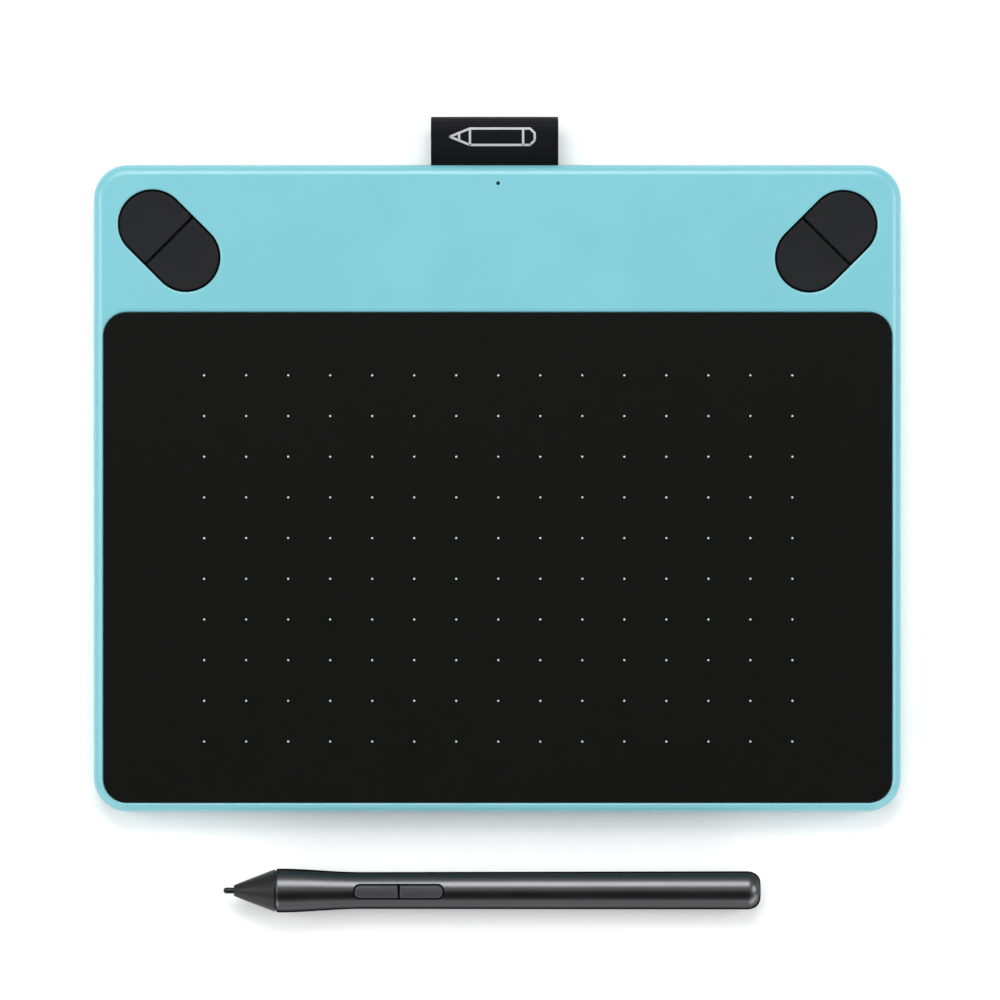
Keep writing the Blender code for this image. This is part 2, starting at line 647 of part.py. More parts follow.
def make_barrel(looks, pen):
    bore = [(135.4, BORE_R - 0.8), (134.6, BORE_R), (BARREL_START_X, BORE_R)]
    stations = [FLARE_X, 18.0, 21.5, 25.0, 28.5, 32.0, WAIST_X, 70.0, 105.0, BUTT_X]
    outside = [(BARREL_START_X, FLARE_R - 0.5)] + [(x, barrel_radius(x)) for x in stations]
    butt = arc(PEN_LENGTH - BUTT_FILLET, BUTT_R - BUTT_FILLET, BUTT_FILLET, 90, 0, FILLET_STEPS)
    barrel = turned("pen_barrel", bore + outside + butt[1:], looks["barrel"], parent=pen)
    outline = capsule(SWITCH_WIDTH, SWITCH_LENGTH, steps=8)
    cut(barrel, prism("switch_slot", outline, (1.5, 8.0), place=(SWITCH_X, 0, 0), parent=pen))


def make_nose(looks, pen):
    """The cone with the nib's hole in it. Its shank plugs into the barrel and holds the coil."""
    shank_r = BORE_R - GAP
    outside = [(17.4, shank_r), (NOSE_END_X, shank_r), (NOSE_END_X, NOSE_R), (NOSE_TIP_X, NOSE_TIP_R)]
    hole_r = NIB_R + GAP
    inside = [(NOSE_TIP_X, hole_r), (6.2, hole_r), (6.2, 1.8), (9.5, 2.95), (17.4, 2.95)]
    turned("pen_nose", outside + inside, looks["nose"], hollow=True, parent=pen)


def make_nib_and_sensor(looks, pen):
    """The nib runs back through the coil's core into its holder, which presses on the pressure sensor."""
    nib = [(0.0, 0.25), (0.2, 0.55), (0.7, NIB_R), (16.0, NIB_R), (17.0, 0.7), (24.8, 0.7)]
    turned("pen_nib", nib, looks["nib"], steps=16, parent=pen)
    holder = [(25.2, 1.0), (21.5, 1.0), (21.5, 1.5), (22.0, 1.8), (27.2, 1.8)]
    turned("nib_holder", holder, looks["white"], steps=16, parent=pen)
    core = [(7.4, 1.5), (20.4, 1.5), (20.4, NIB_R + GAP), (7.4, NIB_R + GAP)]
    turned("ferrite_core", core, looks["ferrite"], steps=16, hollow=True, parent=pen)
    coil = [(10.8, 2.6), (17.0, 2.6), (17.0, 1.8), (10.8, 1.8)]
    turned("pen_coil", coil, looks["copper"], steps=20, hollow=True, parent=pen)
    sensor = [(28.0, 2.4), (28.4, 3.3), (32.4, 3.3), (32.8, 2.8)]
    turned("pressure_sensor", sensor, looks["chip"], steps=16, parent=pen)


def make_pen_chassis(looks, pen):
    box("pen_board", (37.0, 100.0), (-2.9, 2.9), (-1.0, 0.0), looks["board"], parent=pen)
    radius, flat_z = BORE_R - GAP, -1.0 - GAP
    dip = degrees(asin(-flat_z / radius))
    section = arc(0, 0, radius, 180 + dip, 360 - dip, 12)
    along_x("pen_carrier", section, (37.0, 128.0), looks["chip"], parent=pen)
    bumper = [(128.4, 2.6), (128.8, 3.5), (133.6, 3.5), (134.2, 2.6)]
    turned("rear_bumper", bumper, looks["rubber"], steps=16, parent=pen)


def make_side_switches(looks, pen):
    """Two half-capsule buttons back to back in one slot, each over its own switch on the pen's board."""
    radius = SWITCH_WIDTH / 2 - SWITCH_GAP
    end = SWITCH_LENGTH / 2 - SWITCH_GAP
    outlines = key_outlines(radius, SWITCH_SPLIT / 2, end, ((2.0, 2.6), SWITCH_TOP_Z, 0.55), 8)
    for name, turn in (("front", pi), ("rear", 0.0)):
        button = f"side_switch_{name}"
        made = stack(button, outlines, looks["nose"], place=(SWITCH_X, 0, 0), turn=turn, parent=pen)
        where = dict(place=(SWITCH_X + 5.6 * cos(turn), 0, 0), parent=pen)
        join(made, rod(f"{button}_post", 0.8, (1.5, 2.3), steps=10, **where))
        box(f"{button}_contact", (-1.9, 1.9), (-1.6, 1.6), (GAP, 1.1), looks["white"], **where)


# ---------------------------------------------------------------- the whole set


def make_tablet(looks, whole):
    tablet = empty("tablet", parent=whole)
    make_top_cover(looks, tablet)
    make_bottom_cover(looks, tablet)
    make_accessory_door(looks, tablet)
    make_drawing_surface(looks, tablet)
    make_feet(looks, tablet)
    for name, x, y, seat_z in screw_places():
        make_screw(name, x, y, seat_z, looks, tablet)
    make_keys(looks, tablet)
    make_boards(looks, tablet)
    make_flex_cable(looks, tablet)
    make_usb_socket(looks, tablet)
    make_light_guide(looks, tablet)
    make_bay_fittings(looks, tablet)
    make_pen_loop(looks, tablet)


def make_pen(looks, whole):
    """The pen lies on the table on its flare and its rear end, so its axis dips very slightly to the rear."""
    tilt = asin((FLARE_R - BUTT_R) / (BUTT_X - FLARE_X))
    tip_z = FLARE_R * cos(tilt) + FLARE_X * sin(tilt)
    pen = empty("pen", (PEN_TIP_X, PEN_Y, tip_z), tilt, whole)
    make_barrel(looks, pen)
    make_nose(looks, pen)
    make_nib_and_sensor(looks, pen)
    make_pen_chassis(looks, pen)
    make_side_switches(looks, pen)


def main():
    for old in list(bpy.data.objects):
        bpy.data.objects.remove(old)
    looks = make_materials()
    whole = empty("drawing_set", (0, -SET_MIDDLE_Y, 0))
    make_tablet(looks, whole)
    make_pen(looks, whole)


main()
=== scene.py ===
"""The looks of a pen drawing tablet with its pen: shells, film, keys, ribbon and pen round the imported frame.

Sizes are in millimetres, in the tablet's own frame (X right, Y to the rear, Z up, origin under the middle of
the tablet) or in the pen's (X from the nib's point to the rear end, Z through its buttons). TABLET and PEN
turn them into metres in the row's frame.
"""

import json
from math import asin, atan2, ceil, cos, hypot, pi, radians, sin, sqrt

import bmesh
import bpy
from mathutils import Matrix, Vector


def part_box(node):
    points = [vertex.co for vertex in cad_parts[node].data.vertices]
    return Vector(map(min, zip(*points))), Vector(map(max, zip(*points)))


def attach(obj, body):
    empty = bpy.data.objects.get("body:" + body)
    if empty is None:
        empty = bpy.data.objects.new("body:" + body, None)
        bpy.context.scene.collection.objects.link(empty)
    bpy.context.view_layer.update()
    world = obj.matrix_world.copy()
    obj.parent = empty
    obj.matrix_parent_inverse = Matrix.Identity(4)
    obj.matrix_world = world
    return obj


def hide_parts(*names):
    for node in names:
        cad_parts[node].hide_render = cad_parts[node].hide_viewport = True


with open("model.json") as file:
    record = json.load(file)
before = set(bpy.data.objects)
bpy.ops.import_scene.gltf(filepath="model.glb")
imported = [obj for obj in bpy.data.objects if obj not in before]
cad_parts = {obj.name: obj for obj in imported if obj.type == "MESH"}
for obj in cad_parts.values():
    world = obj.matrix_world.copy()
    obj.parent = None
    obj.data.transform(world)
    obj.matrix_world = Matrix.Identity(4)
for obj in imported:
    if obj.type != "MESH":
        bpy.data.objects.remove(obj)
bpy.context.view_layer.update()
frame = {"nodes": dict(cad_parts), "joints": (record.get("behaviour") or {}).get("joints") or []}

MM = 0.001


def size_of(node):
    low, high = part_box(node)
    return (high - low) / MM


def middle_of(node):
    low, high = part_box(node)
    return (low + high) / 2


# Tablet covers
COVER = size_of("top_cover")
COVER_MIDDLE = middle_of("top_cover")
WIDTH, DEPTH = COVER.x, COVER.y
TOP_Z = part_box("top_cover")[1].z / MM
PARTING_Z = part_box("top_cover")[0].z / MM
UNDERSIDE_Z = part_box("bottom_cover")[0].z / MM
REAR_Y = DEPTH / 2
PARTING_GAP = 0.2
CORNER_R = 8.9
TOP_FILLET = 2.8
SIDE_DRAFT = 0.25
UNDER_ROUND = 3.2
WALL, ROOF = 1.6, 1.9
CEILING_Z = TOP_Z - ROOF
FLOOR_TOP_Z = UNDERSIDE_Z + WALL
TABLET = Matrix.Translation((COVER_MIDDLE.x, COVER_MIDDLE.y, 0)) @ Matrix.Scale(MM, 4)

# Drawing film and its recess
FILM = size_of("drawing_surface")
FILM_TOP_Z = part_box("drawing_surface")[1].z / MM
FILM_LOW_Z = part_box("drawing_surface")[0].z / MM
FILM_MIDDLE = (middle_of("drawing_surface") - COVER_MIDDLE) / MM
FILM_CORNER_R = 6.2
FILM_GAP = 0.2
RECESS_FLOOR_Z = FILM_LOW_Z - 0.3
LIP_WIDTH = 0.75
LIP_SLOPE = 0.41
LED_HOLE_R = 0.5
DOT_COLUMNS, DOT_ROWS = 15, 10
DOT_PITCH = (10.895, 10.55)
DOT_MIDDLE = (0.25, -18.2)
DOT_R = 0.27

# Keys
WELL_WIDTH, WELL_LENGTH = 18.0, 30.3
WELL_PLACES = {"left": (-85.1, 64.2), "right": (85.3, 64.05)}
WELL_SLANT = radians(45)
WELL_LIP_WIDTH = 0.42
WELL_FLOOR_Z = 7.0
KEY_SIDE_GAP = 0.58
KEY_SPLIT = 0.7
KEY_FLANGE, KEY_FLANGE_THICK = 1.0, 0.7
KEY_EDGE_R = 0.18
KEY_DISH = 0.1

# Ribbon loop
LOOP = size_of("pen_loop")
LOOP_X = middle_of("pen_loop").x / MM
LOOP_Z = middle_of("pen_loop").z / MM
LOOP_REAR_Y = (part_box("pen_loop")[1].y - COVER_MIDDLE.y) / MM
LOOP_R = LOOP.z / 2
LOOP_MOUTH_Y, LOOP_INNER_Y = REAR_Y - 0.4, REAR_Y - 3.35
LOOP_BEND_Y = LOOP_REAR_Y - LOOP_R
RIBBON = 0.7
RIBBON_GAP = 0.15
RIB_PITCH = 0.72
RIB_HEIGHT = 0.16
WARP_PITCH = 0.42
SELVEDGE = 0.9
MARK_Y = 91.2
MARK_LINE = 0.58

# Bay, door, feet and screws
DOOR_HALF_X = 55.8
DOOR_TONGUE = 1.2
DOOR_FRONT_Y = 43.0
DOOR_TOP_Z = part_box("accessory_door")[1].z / MM
TONGUE_Z = 1.65
GAP = 0.3
LEDGE_Z = DOOR_TOP_Z + GAP
LEDGE_TOP_Z = LEDGE_Z + 1.0
LEDGE_HALF_X, LEDGE_Y = 59.0, (40.5, 82.0)
TUB_HALF_X, TUB_Y, TUB_TOP_Z = 48.0, (46.8, 75.0), 7.7
BAY_ROOMS = {"battery": (-46.8, 11.0), "module": (12.2, 46.8)}
BAY_DEPTH, BAY_Y, BAY_CEILING_Z = 22.0, 59.0, 7.0
GROOVE_LENGTH, GROOVE_WIDTH, GROOVE_Y, GROOVE_TOP_Z = 90.0, 2.6, 72.5, 4.7
BAY_CORNER_R = 1.2
RING_BOSS_R, RING_BOSS_TOP_Z, RING_POCKET_R, RING_POCKET_TOP_Z = 4.9, 4.9, 4.2, 4.2
FOOT_X, FOOT_Y, FOOT_R = 91.0, 71.0, 5.0
FOOT_RECESS_Z = 1.5
REAR_SCREW = (52.0, 60.0)
SCREW_BOSS_R, SCREW_BORE_R, SCREW_HOLE_R = 3.4, 2.2, 1.25
SCREW_HEAD_R, SCREW_HEAD, SCREW_R, THREAD, PITCH = 1.9, 1.2, 0.95, 0.22, 0.5
OVERLAP = 0.2

# Socket
SOCKET = size_of("usb_socket")
SOCKET_Y = (middle_of("usb_socket").y - COVER_MIDDLE.y) / MM
CONTACT_PITCH, CONTACT_WIDTH = 0.65, 0.32
TONGUE_WIDTH = 3.6

# Light
SKY_LIGHT = 0.60
REAR_WATTS = 6.6
FRONT_WATTS = 3.4
SIDE_WATTS = 3.0

# Pen
NIB_LOW, NIB_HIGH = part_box("pen_nib")
PEN_AXIS = Vector(next(j["axis"] for j in frame["joints"] if j["name"] == "nib_press")).normalized()
PEN_TILT = asin(-PEN_AXIS.z)
NIB_R = 0.8
NIB_RISE = NIB_R * cos(PEN_TILT) - 0.7 * sin(PEN_TILT)
PEN_TIP = Vector((NIB_LOW.x, (NIB_LOW.y + NIB_HIGH.y) / 2, NIB_HIGH.z - NIB_RISE * MM))
PEN = Matrix.Translation(PEN_TIP) @ Matrix.Rotation(PEN_TILT, 4, "Y") @ Matrix.Scale(MM, 4)
PEN_LENGTH = 139.6
NOSE_TIP_X, NOSE_END_X, NOSE_TIP_R, NOSE_R = 2.7, 13.35, 1.45, 5.45
BARREL_START_X, FLARE_X, FLARE_R = 13.85, 14.6, 5.7
WAIST_X, WAIST_R = 36.0, 4.78
BUTT_X, BUTT_R = 137.2, 4.97
BUTT_ROUND_X = PEN_LENGTH - 3.4
BORE_R = 3.9
SLOT_X, SLOT_LENGTH, SLOT_WIDTH, SLOT_CORNER = 45.6, 23.6, 4.1, 1.75
BUTTON_GAP, BUTTON_SPLIT, BUTTON_PROUD = 0.44, 0.5, 0.22


# ---------------------------------------------------------------- outlines


def arc(cx, cy, radius, start, end, steps):
    angles = [radians(start + (end - start) * i / steps) for i in range(steps + 1)]
    return [(cx + radius * cos(a), cy + radius * sin(a)) for a in angles]


def circle(radius, steps):
    return arc(0, 0, radius, 0, 360 * (steps - 1) / steps, steps - 1)


def rounded_rectangle(width, depth, radius, inset=0.0, middle=(0.0, 0.0), steps=24):
    r = max(radius - inset, 0.3)
    x, y = width / 2 - inset - r, depth / 2 - inset - r
    points = []
    for cx, cy, start in [(x, y, 0), (-x, y, 90), (-x, -y, 180), (x, -y, 270)]:
        points += arc(cx + middle[0], cy + middle[1], r, start, start + 90, steps)
    return points


def capsule(width, length, inset=0.0, steps=40):
    r = width / 2 - inset
    x = length / 2 - width / 2
    return arc(x, 0, r, -90, 90, steps) + arc(-x, 0, r, 90, 270, steps)


def half_capsule(radius, start, end, corner=0.3, nose=None, steps=32):
    """A capsule's half from x = start, cut square with small corners, to its round end at x = end."""
    nose = min(nose or radius, radius)
    c = min(corner, radius - 0.01)
    square = arc(start + c, radius - c, c, 90, 180, 4) + arc(start + c, c - radius, c, 180, 270, 4)
    low = arc(end - nose, nose - radius, nose, -90, 0, steps // 2)
    high = arc(end - nose, radius - nose, nose, 0, 90, steps // 2)
    return square + low + high


# ---------------------------------------------------------------- solids


def at(x=0.0, y=0.0, z=0.0, turn=0.0):
    return Matrix.Translation((x, y, z)) @ Matrix.Rotation(turn, 4, "Z")


def new_object(name, bm):
    mesh = bpy.data.meshes.new(name)
    bm.to_mesh(mesh)
    bm.free()
    made = bpy.data.objects.new(name, mesh)
    bpy.context.scene.collection.objects.link(made)
    return made


def skin(name, rings, place=TABLET, hollow=False):
    """A closed solid through rings of equally many points, capped or, where hollow, joined end to end."""
    bm = bmesh.new()
    rows = [[bm.verts.new(place @ Vector(point)) for point in ring] for ring in rings]
    pairs = list(zip(rows, rows[1:]))
    if hollow:
        pairs.append((rows[-1], rows[0]))
    else:
        bm.faces.new(rows[0])
        bm.faces.new(rows[-1])
    for low, high in pairs:
        for i, j in zip(range(-1, len(low) - 1), range(len(low))):
            bm.faces.new((low[i], low[j], high[j], high[i]))
    bmesh.ops.recalc_face_normals(bm, faces=bm.faces)
    return new_object(name, bm)


def stack(name, outlines, place=TABLET):
    return skin(name, [[(x, y, z) for x, y in outline] for outline, z in outlines], place)


def prism(name, outline, z, place=TABLET):
    return stack(name, [(outline, z[0]), (outline, z[1])], place)


def box(name, x, y, z, place=TABLET):
    return prism(name, [(x[0], y[0]), (x[1], y[0]), (x[1], y[1]), (x[0], y[1])], z, place)


def rod(name, radius, z, place=TABLET, steps=48):
    return prism(name, circle(radius, steps), z, place)


def along_y(name, section, y, place=TABLET):
    return skin(name, [[(x, u, z) for x, z in section] for u in y], place)


def turned(name, profile, place=PEN, steps=96, hollow=False):
    """A solid turned about the frame's X through (x, radius) points."""
    rings = [[(x, r * u, r * v) for u, v in circle(1, steps)] for x, r in profile]
    return skin(name, rings, place, hollow)


def shape(target, tools, operation="DIFFERENCE"):
    """Cuts the tools out of target, or joins them to it, and removes them."""
    for tool in tools:
        step = target.modifiers.new(tool.name, "BOOLEAN")
        step.operation = operation
        step.object = tool
    shown = target.evaluated_get(bpy.context.evaluated_depsgraph_get())
    target.data = bpy.data.meshes.new_from_object(shown)
    target.modifiers.clear()
    for tool in tools:
        bpy.data.objects.remove(tool)


def cut(target, *tools):
    shape(target, tools)


def join(target, *tools):
    shape(target, tools, "UNION")


def settle(made, body, slot, look, *nodes, sharp=32):
    """Gives a finished piece its shading, material and body, and hides the CAD nodes that it is drawn in place
    of.
    """
    made.data.shade_smooth()
    made.data.set_sharp_from_angle(angle=radians(sharp))
    made.data.materials.clear()
    made.data.materials.append(look)
    normals = made.modifiers.new("flat_faces_stay_flat", "WEIGHTED_NORMAL")
    normals.keep_sharp = True
    normals.weight = 60
    if nodes:
        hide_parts(*nodes)
    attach(made, body)
    return made


# ---------------------------------------------------------------- materials


INPUT_NAMES = {
    "specular_ior_level": "Specular IOR Level",
    "sheen_weight": "Sheen Weight",
    "sheen_roughness": "Sheen Roughness",
    "emission_strength": "Emission Strength",
    "specular_tint": "Specular Tint",
}


class Look:
    """A Principled material whose nodes are wired by short calls."""

    def __init__(self, name, colour, roughness, metallic=0.0, **inputs):
        self.material = bpy.data.materials.new(name)
        self.material.use_nodes = True
        self.tree = self.material.node_tree
        self.shader = self.tree.nodes["Principled BSDF"]
        self.colour = (*colour, 1.0)
        self.shader.inputs["Base Color"].default_value = self.colour
        self.shader.inputs["Roughness"].default_value = roughness
        self.shader.inputs["Metallic"].default_value = metallic
        for key, value in inputs.items():
            self.shader.inputs[INPUT_NAMES[key]].default_value = value
        self.place = self.node("ShaderNodeTexCoord").outputs["Object"]

    def node(self, kind, **values):
        made = self.tree.nodes.new(kind)
        for key, value in values.items():
            if key in made.inputs:
                made.inputs[key].default_value = value
            else:
                setattr(made, key, value)
        return made

    def link(self, output, target):
        self.tree.links.new(output, target)

    def noise(self, per_mm, detail=2.0, stretch=None):
        """Noise with per_mm lumps to the millimetre, drawn out where stretch scales its axes."""
        made = self.node("ShaderNodeTexNoise", Scale=per_mm / MM, Detail=detail, Roughness=0.55)
        if stretch:
            mapping = self.node("ShaderNodeMapping", Scale=stretch)
            self.link(self.place, mapping.inputs["Vector"])
            self.link(mapping.outputs["Vector"], made.inputs["Vector"])
        else:
            self.link(self.place, made.inputs["Vector"])
        return made.outputs["Fac"]

    def ranged(self, fac, low, high, start=0.3, end=0.7):
        made = self.node("ShaderNodeMapRange")
        for key, value in (("From Min", start), ("From Max", end), ("To Min", low), ("To Max", high)):
            made.inputs[key].default_value = value
        self.link(fac, made.inputs["Value"])
        return made.outputs["Result"]

    def rough(self, fac, low, high):
        self.link(self.ranged(fac, low, high), self.shader.inputs["Roughness"])

    def tint(self, fac, darker, lighter):
        """Varies the colour between its darker and lighter share of itself as fac runs from low to high."""
        ramp = self.node("ShaderNodeValToRGB")
        for stop, place, share in zip(ramp.color_ramp.elements, (0.3, 0.7), (darker, lighter)):
            stop.position = place
            stop.color = tuple(min(c * share, 1.0) for c in self.colour[:3]) + (1.0,)
        self.link(fac, ramp.inputs["Fac"])
        self.link(ramp.outputs["Color"], self.shader.inputs["Base Color"])

    def bump(self, fac, depth_mm, strength=1.0):
        """Raises the surface where fac is high. Several bumps add up."""
        made = self.node("ShaderNodeBump", Strength=strength, Distance=depth_mm * MM)
        self.link(fac, made.inputs["Height"])
        normal = self.shader.inputs["Normal"]
        if normal.is_linked:
            self.link(normal.links[0].from_socket, made.inputs["Normal"])
        self.link(made.outputs["Normal"], normal)


def moulded(name, colour, roughness, grain=5.0, depth=0.012, spread=0.05, specular=0.5, **inputs):
    """Moulded plastic: a fine eroded grain, a little unevenness in gloss, and slow drifts of colour."""
    look = Look(name, colour, roughness, specular_ior_level=specular, **inputs)
    look.tint(look.noise(0.02, 3.0), 0.97, 1.03)
    look.rough(look.noise(0.15, 4.0), roughness - spread, roughness + spread)
    look.bump(look.noise(grain, 3.0), depth)
    return look.material


def make_film_look():
    """A black film with a paper-like tooth that wears a little glossier in patches."""
    look = Look("drawing_film", (0.0019, 0.0020, 0.0017), 0.5, specular_ior_level=0.085)
    look.tint(look.noise(0.3, 4.0), 0.9, 1.12)
    look.rough(look.noise(0.06, 3.0), 0.50, 0.54)
    look.bump(look.noise(9.0, 2.0), 0.016)
    look.bump(look.noise(2.2, 3.0), 0.01, 0.6)
    return look.material


def make_ribbon_look():
    """Woven polyester: dark yarn with fine filaments along the ribs and a soft sheen."""
    sheen = {"sheen_weight": 0.1, "sheen_roughness": 0.4}
    look = Look("woven_ribbon", (0.0016, 0.0017, 0.0032), 0.55, specular_ior_level=0.11, **sheen)
    look.tint(look.noise(1.4, 4.0, (0.3, 1, 1)), 0.7, 1.35)
    look.bump(look.noise(10.0, 2.0, (0.25, 1, 1)), 0.03)
    return look.material


def make_metal_look(name, colour, roughness, stretch=(0.15, 1, 1)):
    look = Look(name, colour, roughness, metallic=1.0)
    look.rough(look.noise(3.0, 4.0, stretch), roughness - 0.08, roughness + 0.1)
    look.bump(look.noise(8.0, 2.0, stretch), 0.004)
    return look.material


def make_board_look():
    """Green solder mask over paler copper tracks."""
    look = Look("circuit_board", (0.015, 0.13, 0.055), 0.35)
    wave = look.node("ShaderNodeTexWave", Scale=0.35 / MM, Distortion=6.0, Detail=2.0)
    look.link(look.place, wave.inputs["Vector"])
    look.tint(wave.outputs["Fac"], 0.75, 1.7)
    look.rough(look.noise(0.5), 0.3, 0.42)
    look.bump(wave.outputs["Fac"], 0.02)
    return look.material


def make_winding_look():
    """Fine enamelled wire, turn beside turn along the pen."""
    look = Look("copper_winding", (0.60, 0.24, 0.10), 0.35, metallic=1.0)
    wave = look.node("ShaderNodeTexWave", Scale=1.6 / MM)
    look.link(look.place, wave.inputs["Vector"])
    look.tint(wave.outputs["Fac"], 0.55, 1.2)
    look.bump(wave.outputs["Fac"], 0.04)
    return look.material


def make_looks():
    mint, key, lacquer = (0.145, 0.422, 0.477), (0.0062, 0.0066, 0.0083), (0.103, 0.103, 0.107)
    dark_edge = {"metallic": 1.0, "specular_tint": (0.0, 0.0, 0.0, 1.0)}
    return {
        "mint": moulded("mint_plastic", mint, 0.34, 3.0, 0.003, spread=0.03, specular=0.7),
        "film": make_film_look(),
        "dot": moulded("printed_dot", (0.40, 0.48, 0.48), 0.5),
        "key": moulded("key_plastic", key, 0.5, specular=0.17),
        "ribbon": make_ribbon_look(),
        "print": moulded("silver_print", (0.40, 0.41, 0.42), 0.38, 8.0, 0.01),
        "rubber": moulded("foot_rubber", (0.030, 0.031, 0.033), 0.78, 3.0, 0.03),
        "steel": make_metal_look("steel", (0.58, 0.58, 0.60), 0.32),
        "gold": make_metal_look("gold_plate", (0.80, 0.58, 0.26), 0.3),
        "board": make_board_look(),
        "winding": make_winding_look(),
        "chip": moulded("chip_plastic", (0.014, 0.014, 0.015), 0.5, 4.0, 0.01),
        "film_amber": moulded("flex_film", (0.50, 0.22, 0.03), 0.3, 1.0, 0.005),
        "clear": moulded("light_guide_plastic", (0.006, 0.02, 0.022), 0.2, 2.0, 0.003),
        "white": moulded("white_plastic", (0.72, 0.72, 0.70), 0.45),
        "barrel": moulded("pen_barrel_lacquer", lacquer, 0.295, 3.0, 0.0015, spread=0.015, **dark_edge),
        "nose": moulded("pen_nose_plastic", (0.011, 0.011, 0.012), 0.42, 6.0, specular=0.22),
        "button": moulded("side_button_plastic", (0.027, 0.027, 0.030), 0.5, 6.0),
        "nib": moulded("nib_plastic", (0.008, 0.008, 0.009), 0.3, 3.0, 0.004, spread=0.03, specular=0.3),
        "ferrite": moulded("ferrite", (0.045, 0.043, 0.045), 0.55, 4.0, 0.02),
    }


# ---------------------------------------------------------------- covers


def body_rings(profile):
    return [(rounded_rectangle(WIDTH, DEPTH, CORNER_R, inset), z) for inset, z in profile]


def film_outline(inset):
    return rounded_rectangle(FILM.x, FILM.y, FILM_CORNER_R, inset, FILM_MIDDLE)


def slanted_lip(low_z, width):
    """(inset, z) of a cutter that opens the top face with a slanted lip, softened at both ends."""
    fall = LIP_SLOPE * width
    soft = 0.09 * width
    return [
        (0.0, low_z),
        (0.0, TOP_Z - fall - soft * 0.8),
        (-0.3 * soft, TOP_Z - fall - soft * 0.2),
        (-soft, TOP_Z - fall + soft * LIP_SLOPE),
        (-width + soft, TOP_Z - soft * LIP_SLOPE * 0.9),
        (-width - soft, TOP_Z + 0.004),
        (-width - soft - 0.3, TOP_Z + 0.3),
    ]


def well_places():
    """(side, x, y, slant) of the two key wells, each running from its outer rear to its inner front."""
    slants = {"left": -WELL_SLANT, "right": pi + WELL_SLANT}
    return [(side, x, y, slants[side]) for side, (x, y) in WELL_PLACES.items()]


def foot_places():
    ends = [("front", -FOOT_Y), ("rear", FOOT_Y)]
    sides = [("left", -FOOT_X), ("right", FOOT_X)]
    return [(f"{end}_{side}", x, y) for end, y in ends for side, x in sides]


def screw_places():
    places = []
    for side, sign in (("left", -1), ("right", 1)):
        places.append((f"front_{side}", sign * FOOT_X, -FOOT_Y))
        places.append((f"rear_{side}", sign * REAR_SCREW[0], REAR_SCREW[1]))
    return places


def make_cover_top(looks):
    shoulder = SIDE_DRAFT + TOP_FILLET
    inner = [(shoulder + 0.4, CEILING_Z), (WALL + 0.5, CEILING_Z - 0.9), (WALL, PARTING_Z)]
    edge = arc(0.15, PARTING_Z + 0.15, 0.15, 270, 180, 4)
    outer = arc(shoulder, TOP_Z - TOP_FILLET, TOP_FILLET, 180, 90, 18)
    cover = stack("cover_top", body_rings(inner + edge + outer))

    recess = slanted_lip(RECESS_FLOOR_Z, LIP_WIDTH)
    cut(cover, stack("recess", [(film_outline(inset - FILM_GAP), z) for inset, z in recess]))
    lip = slanted_lip(WELL_FLOOR_Z, WELL_LIP_WIDTH)
    well = [(capsule(WELL_WIDTH, WELL_LENGTH, inset), z) for inset, z in lip]
    for side, x, y, slant in well_places():
        cut(cover, stack(f"well_{side}", well, TABLET @ at(x, y, 0, slant)))

    led = middle_of("status_led")
    led_place = TABLET @ at((led.x - COVER_MIDDLE.x) / MM, (led.y - COVER_MIDDLE.y) / MM)
    hole = [(circle(LED_HOLE_R - inset, 32), z) for inset, z in slanted_lip(WELL_FLOOR_Z, 0.1)]
    cut(cover, stack("led_hole", hole, led_place))

    half = LOOP.x / 2 + GAP
    slot_z = (PARTING_Z - 0.5, LOOP_Z + RIBBON + 0.4)
    cut(cover, box("loop_slot", (LOOP_X - half, LOOP_X + half), (80, REAR_Y + 2), slot_z))
    cut(cover, socket_opening())
    settle(cover, "tablet", "cover", looks["mint"], "top_cover")


def socket_opening():
    """The mouth in the left wall that the plug goes through, with round corners and a flared edge."""
    half = SOCKET.y / 2 + GAP
    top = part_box("usb_socket")[1].z / MM + GAP
    low_z = PARTING_Z - 0.6
    rings = []
    for x, flare in ((-107, 0.45), (-104.75, 0.4), (-104.45, 0.0), (-101, 0.0)):
        r = 0.8 + flare
        right = arc(half + flare - r, top + flare - r, r, 0, 90, 8)
        outline = [(half + flare, low_z)] + right
        outline += [(-u, v) for u, v in reversed(outline)]
        rings.append([(x, SOCKET_Y + u, v) for u, v in outline])
    return skin("usb_opening", rings)


def make_cover_bottom(looks):
    cover = stack("cover_bottom", body_rings(bottom_inside() + under_profile(18)))
    add_bay_walls(cover)
    cut_bay(cover)
    cut_underside(cover)
    half = LOOP.x / 2 + 3.5
    cut(cover, box("loop_notch", (LOOP_X - half, LOOP_X + half), (79, 82.6), (4.9, 6.5)))
    y = (SOCKET_Y - 4.6, SOCKET_Y + 4.6)
    cut(cover, box("usb_notch", (-103.6, -100), y, (PARTING_Z - 0.15, 6.5)))
    settle(cover, "tablet", "cover", looks["mint"], "bottom_cover")


def bottom_inside():
    """(inset, z) of the bottom cover's inside, from its floor over the lip that goes into the top cover."""
    low_lip, high_lip, lip_top_z = 2.85, 1.95, 5.6
    inner = [(5.0, FLOOR_TOP_Z), (3.2, 3.0), (low_lip, 3.8), (low_lip, lip_top_z - 0.2)]
    lip_top = [(low_lip - 0.2, lip_top_z), (high_lip + 0.2, lip_top_z)]
    return inner + lip_top + [(high_lip, lip_top_z - 0.2), (high_lip, PARTING_Z - PARTING_GAP)]


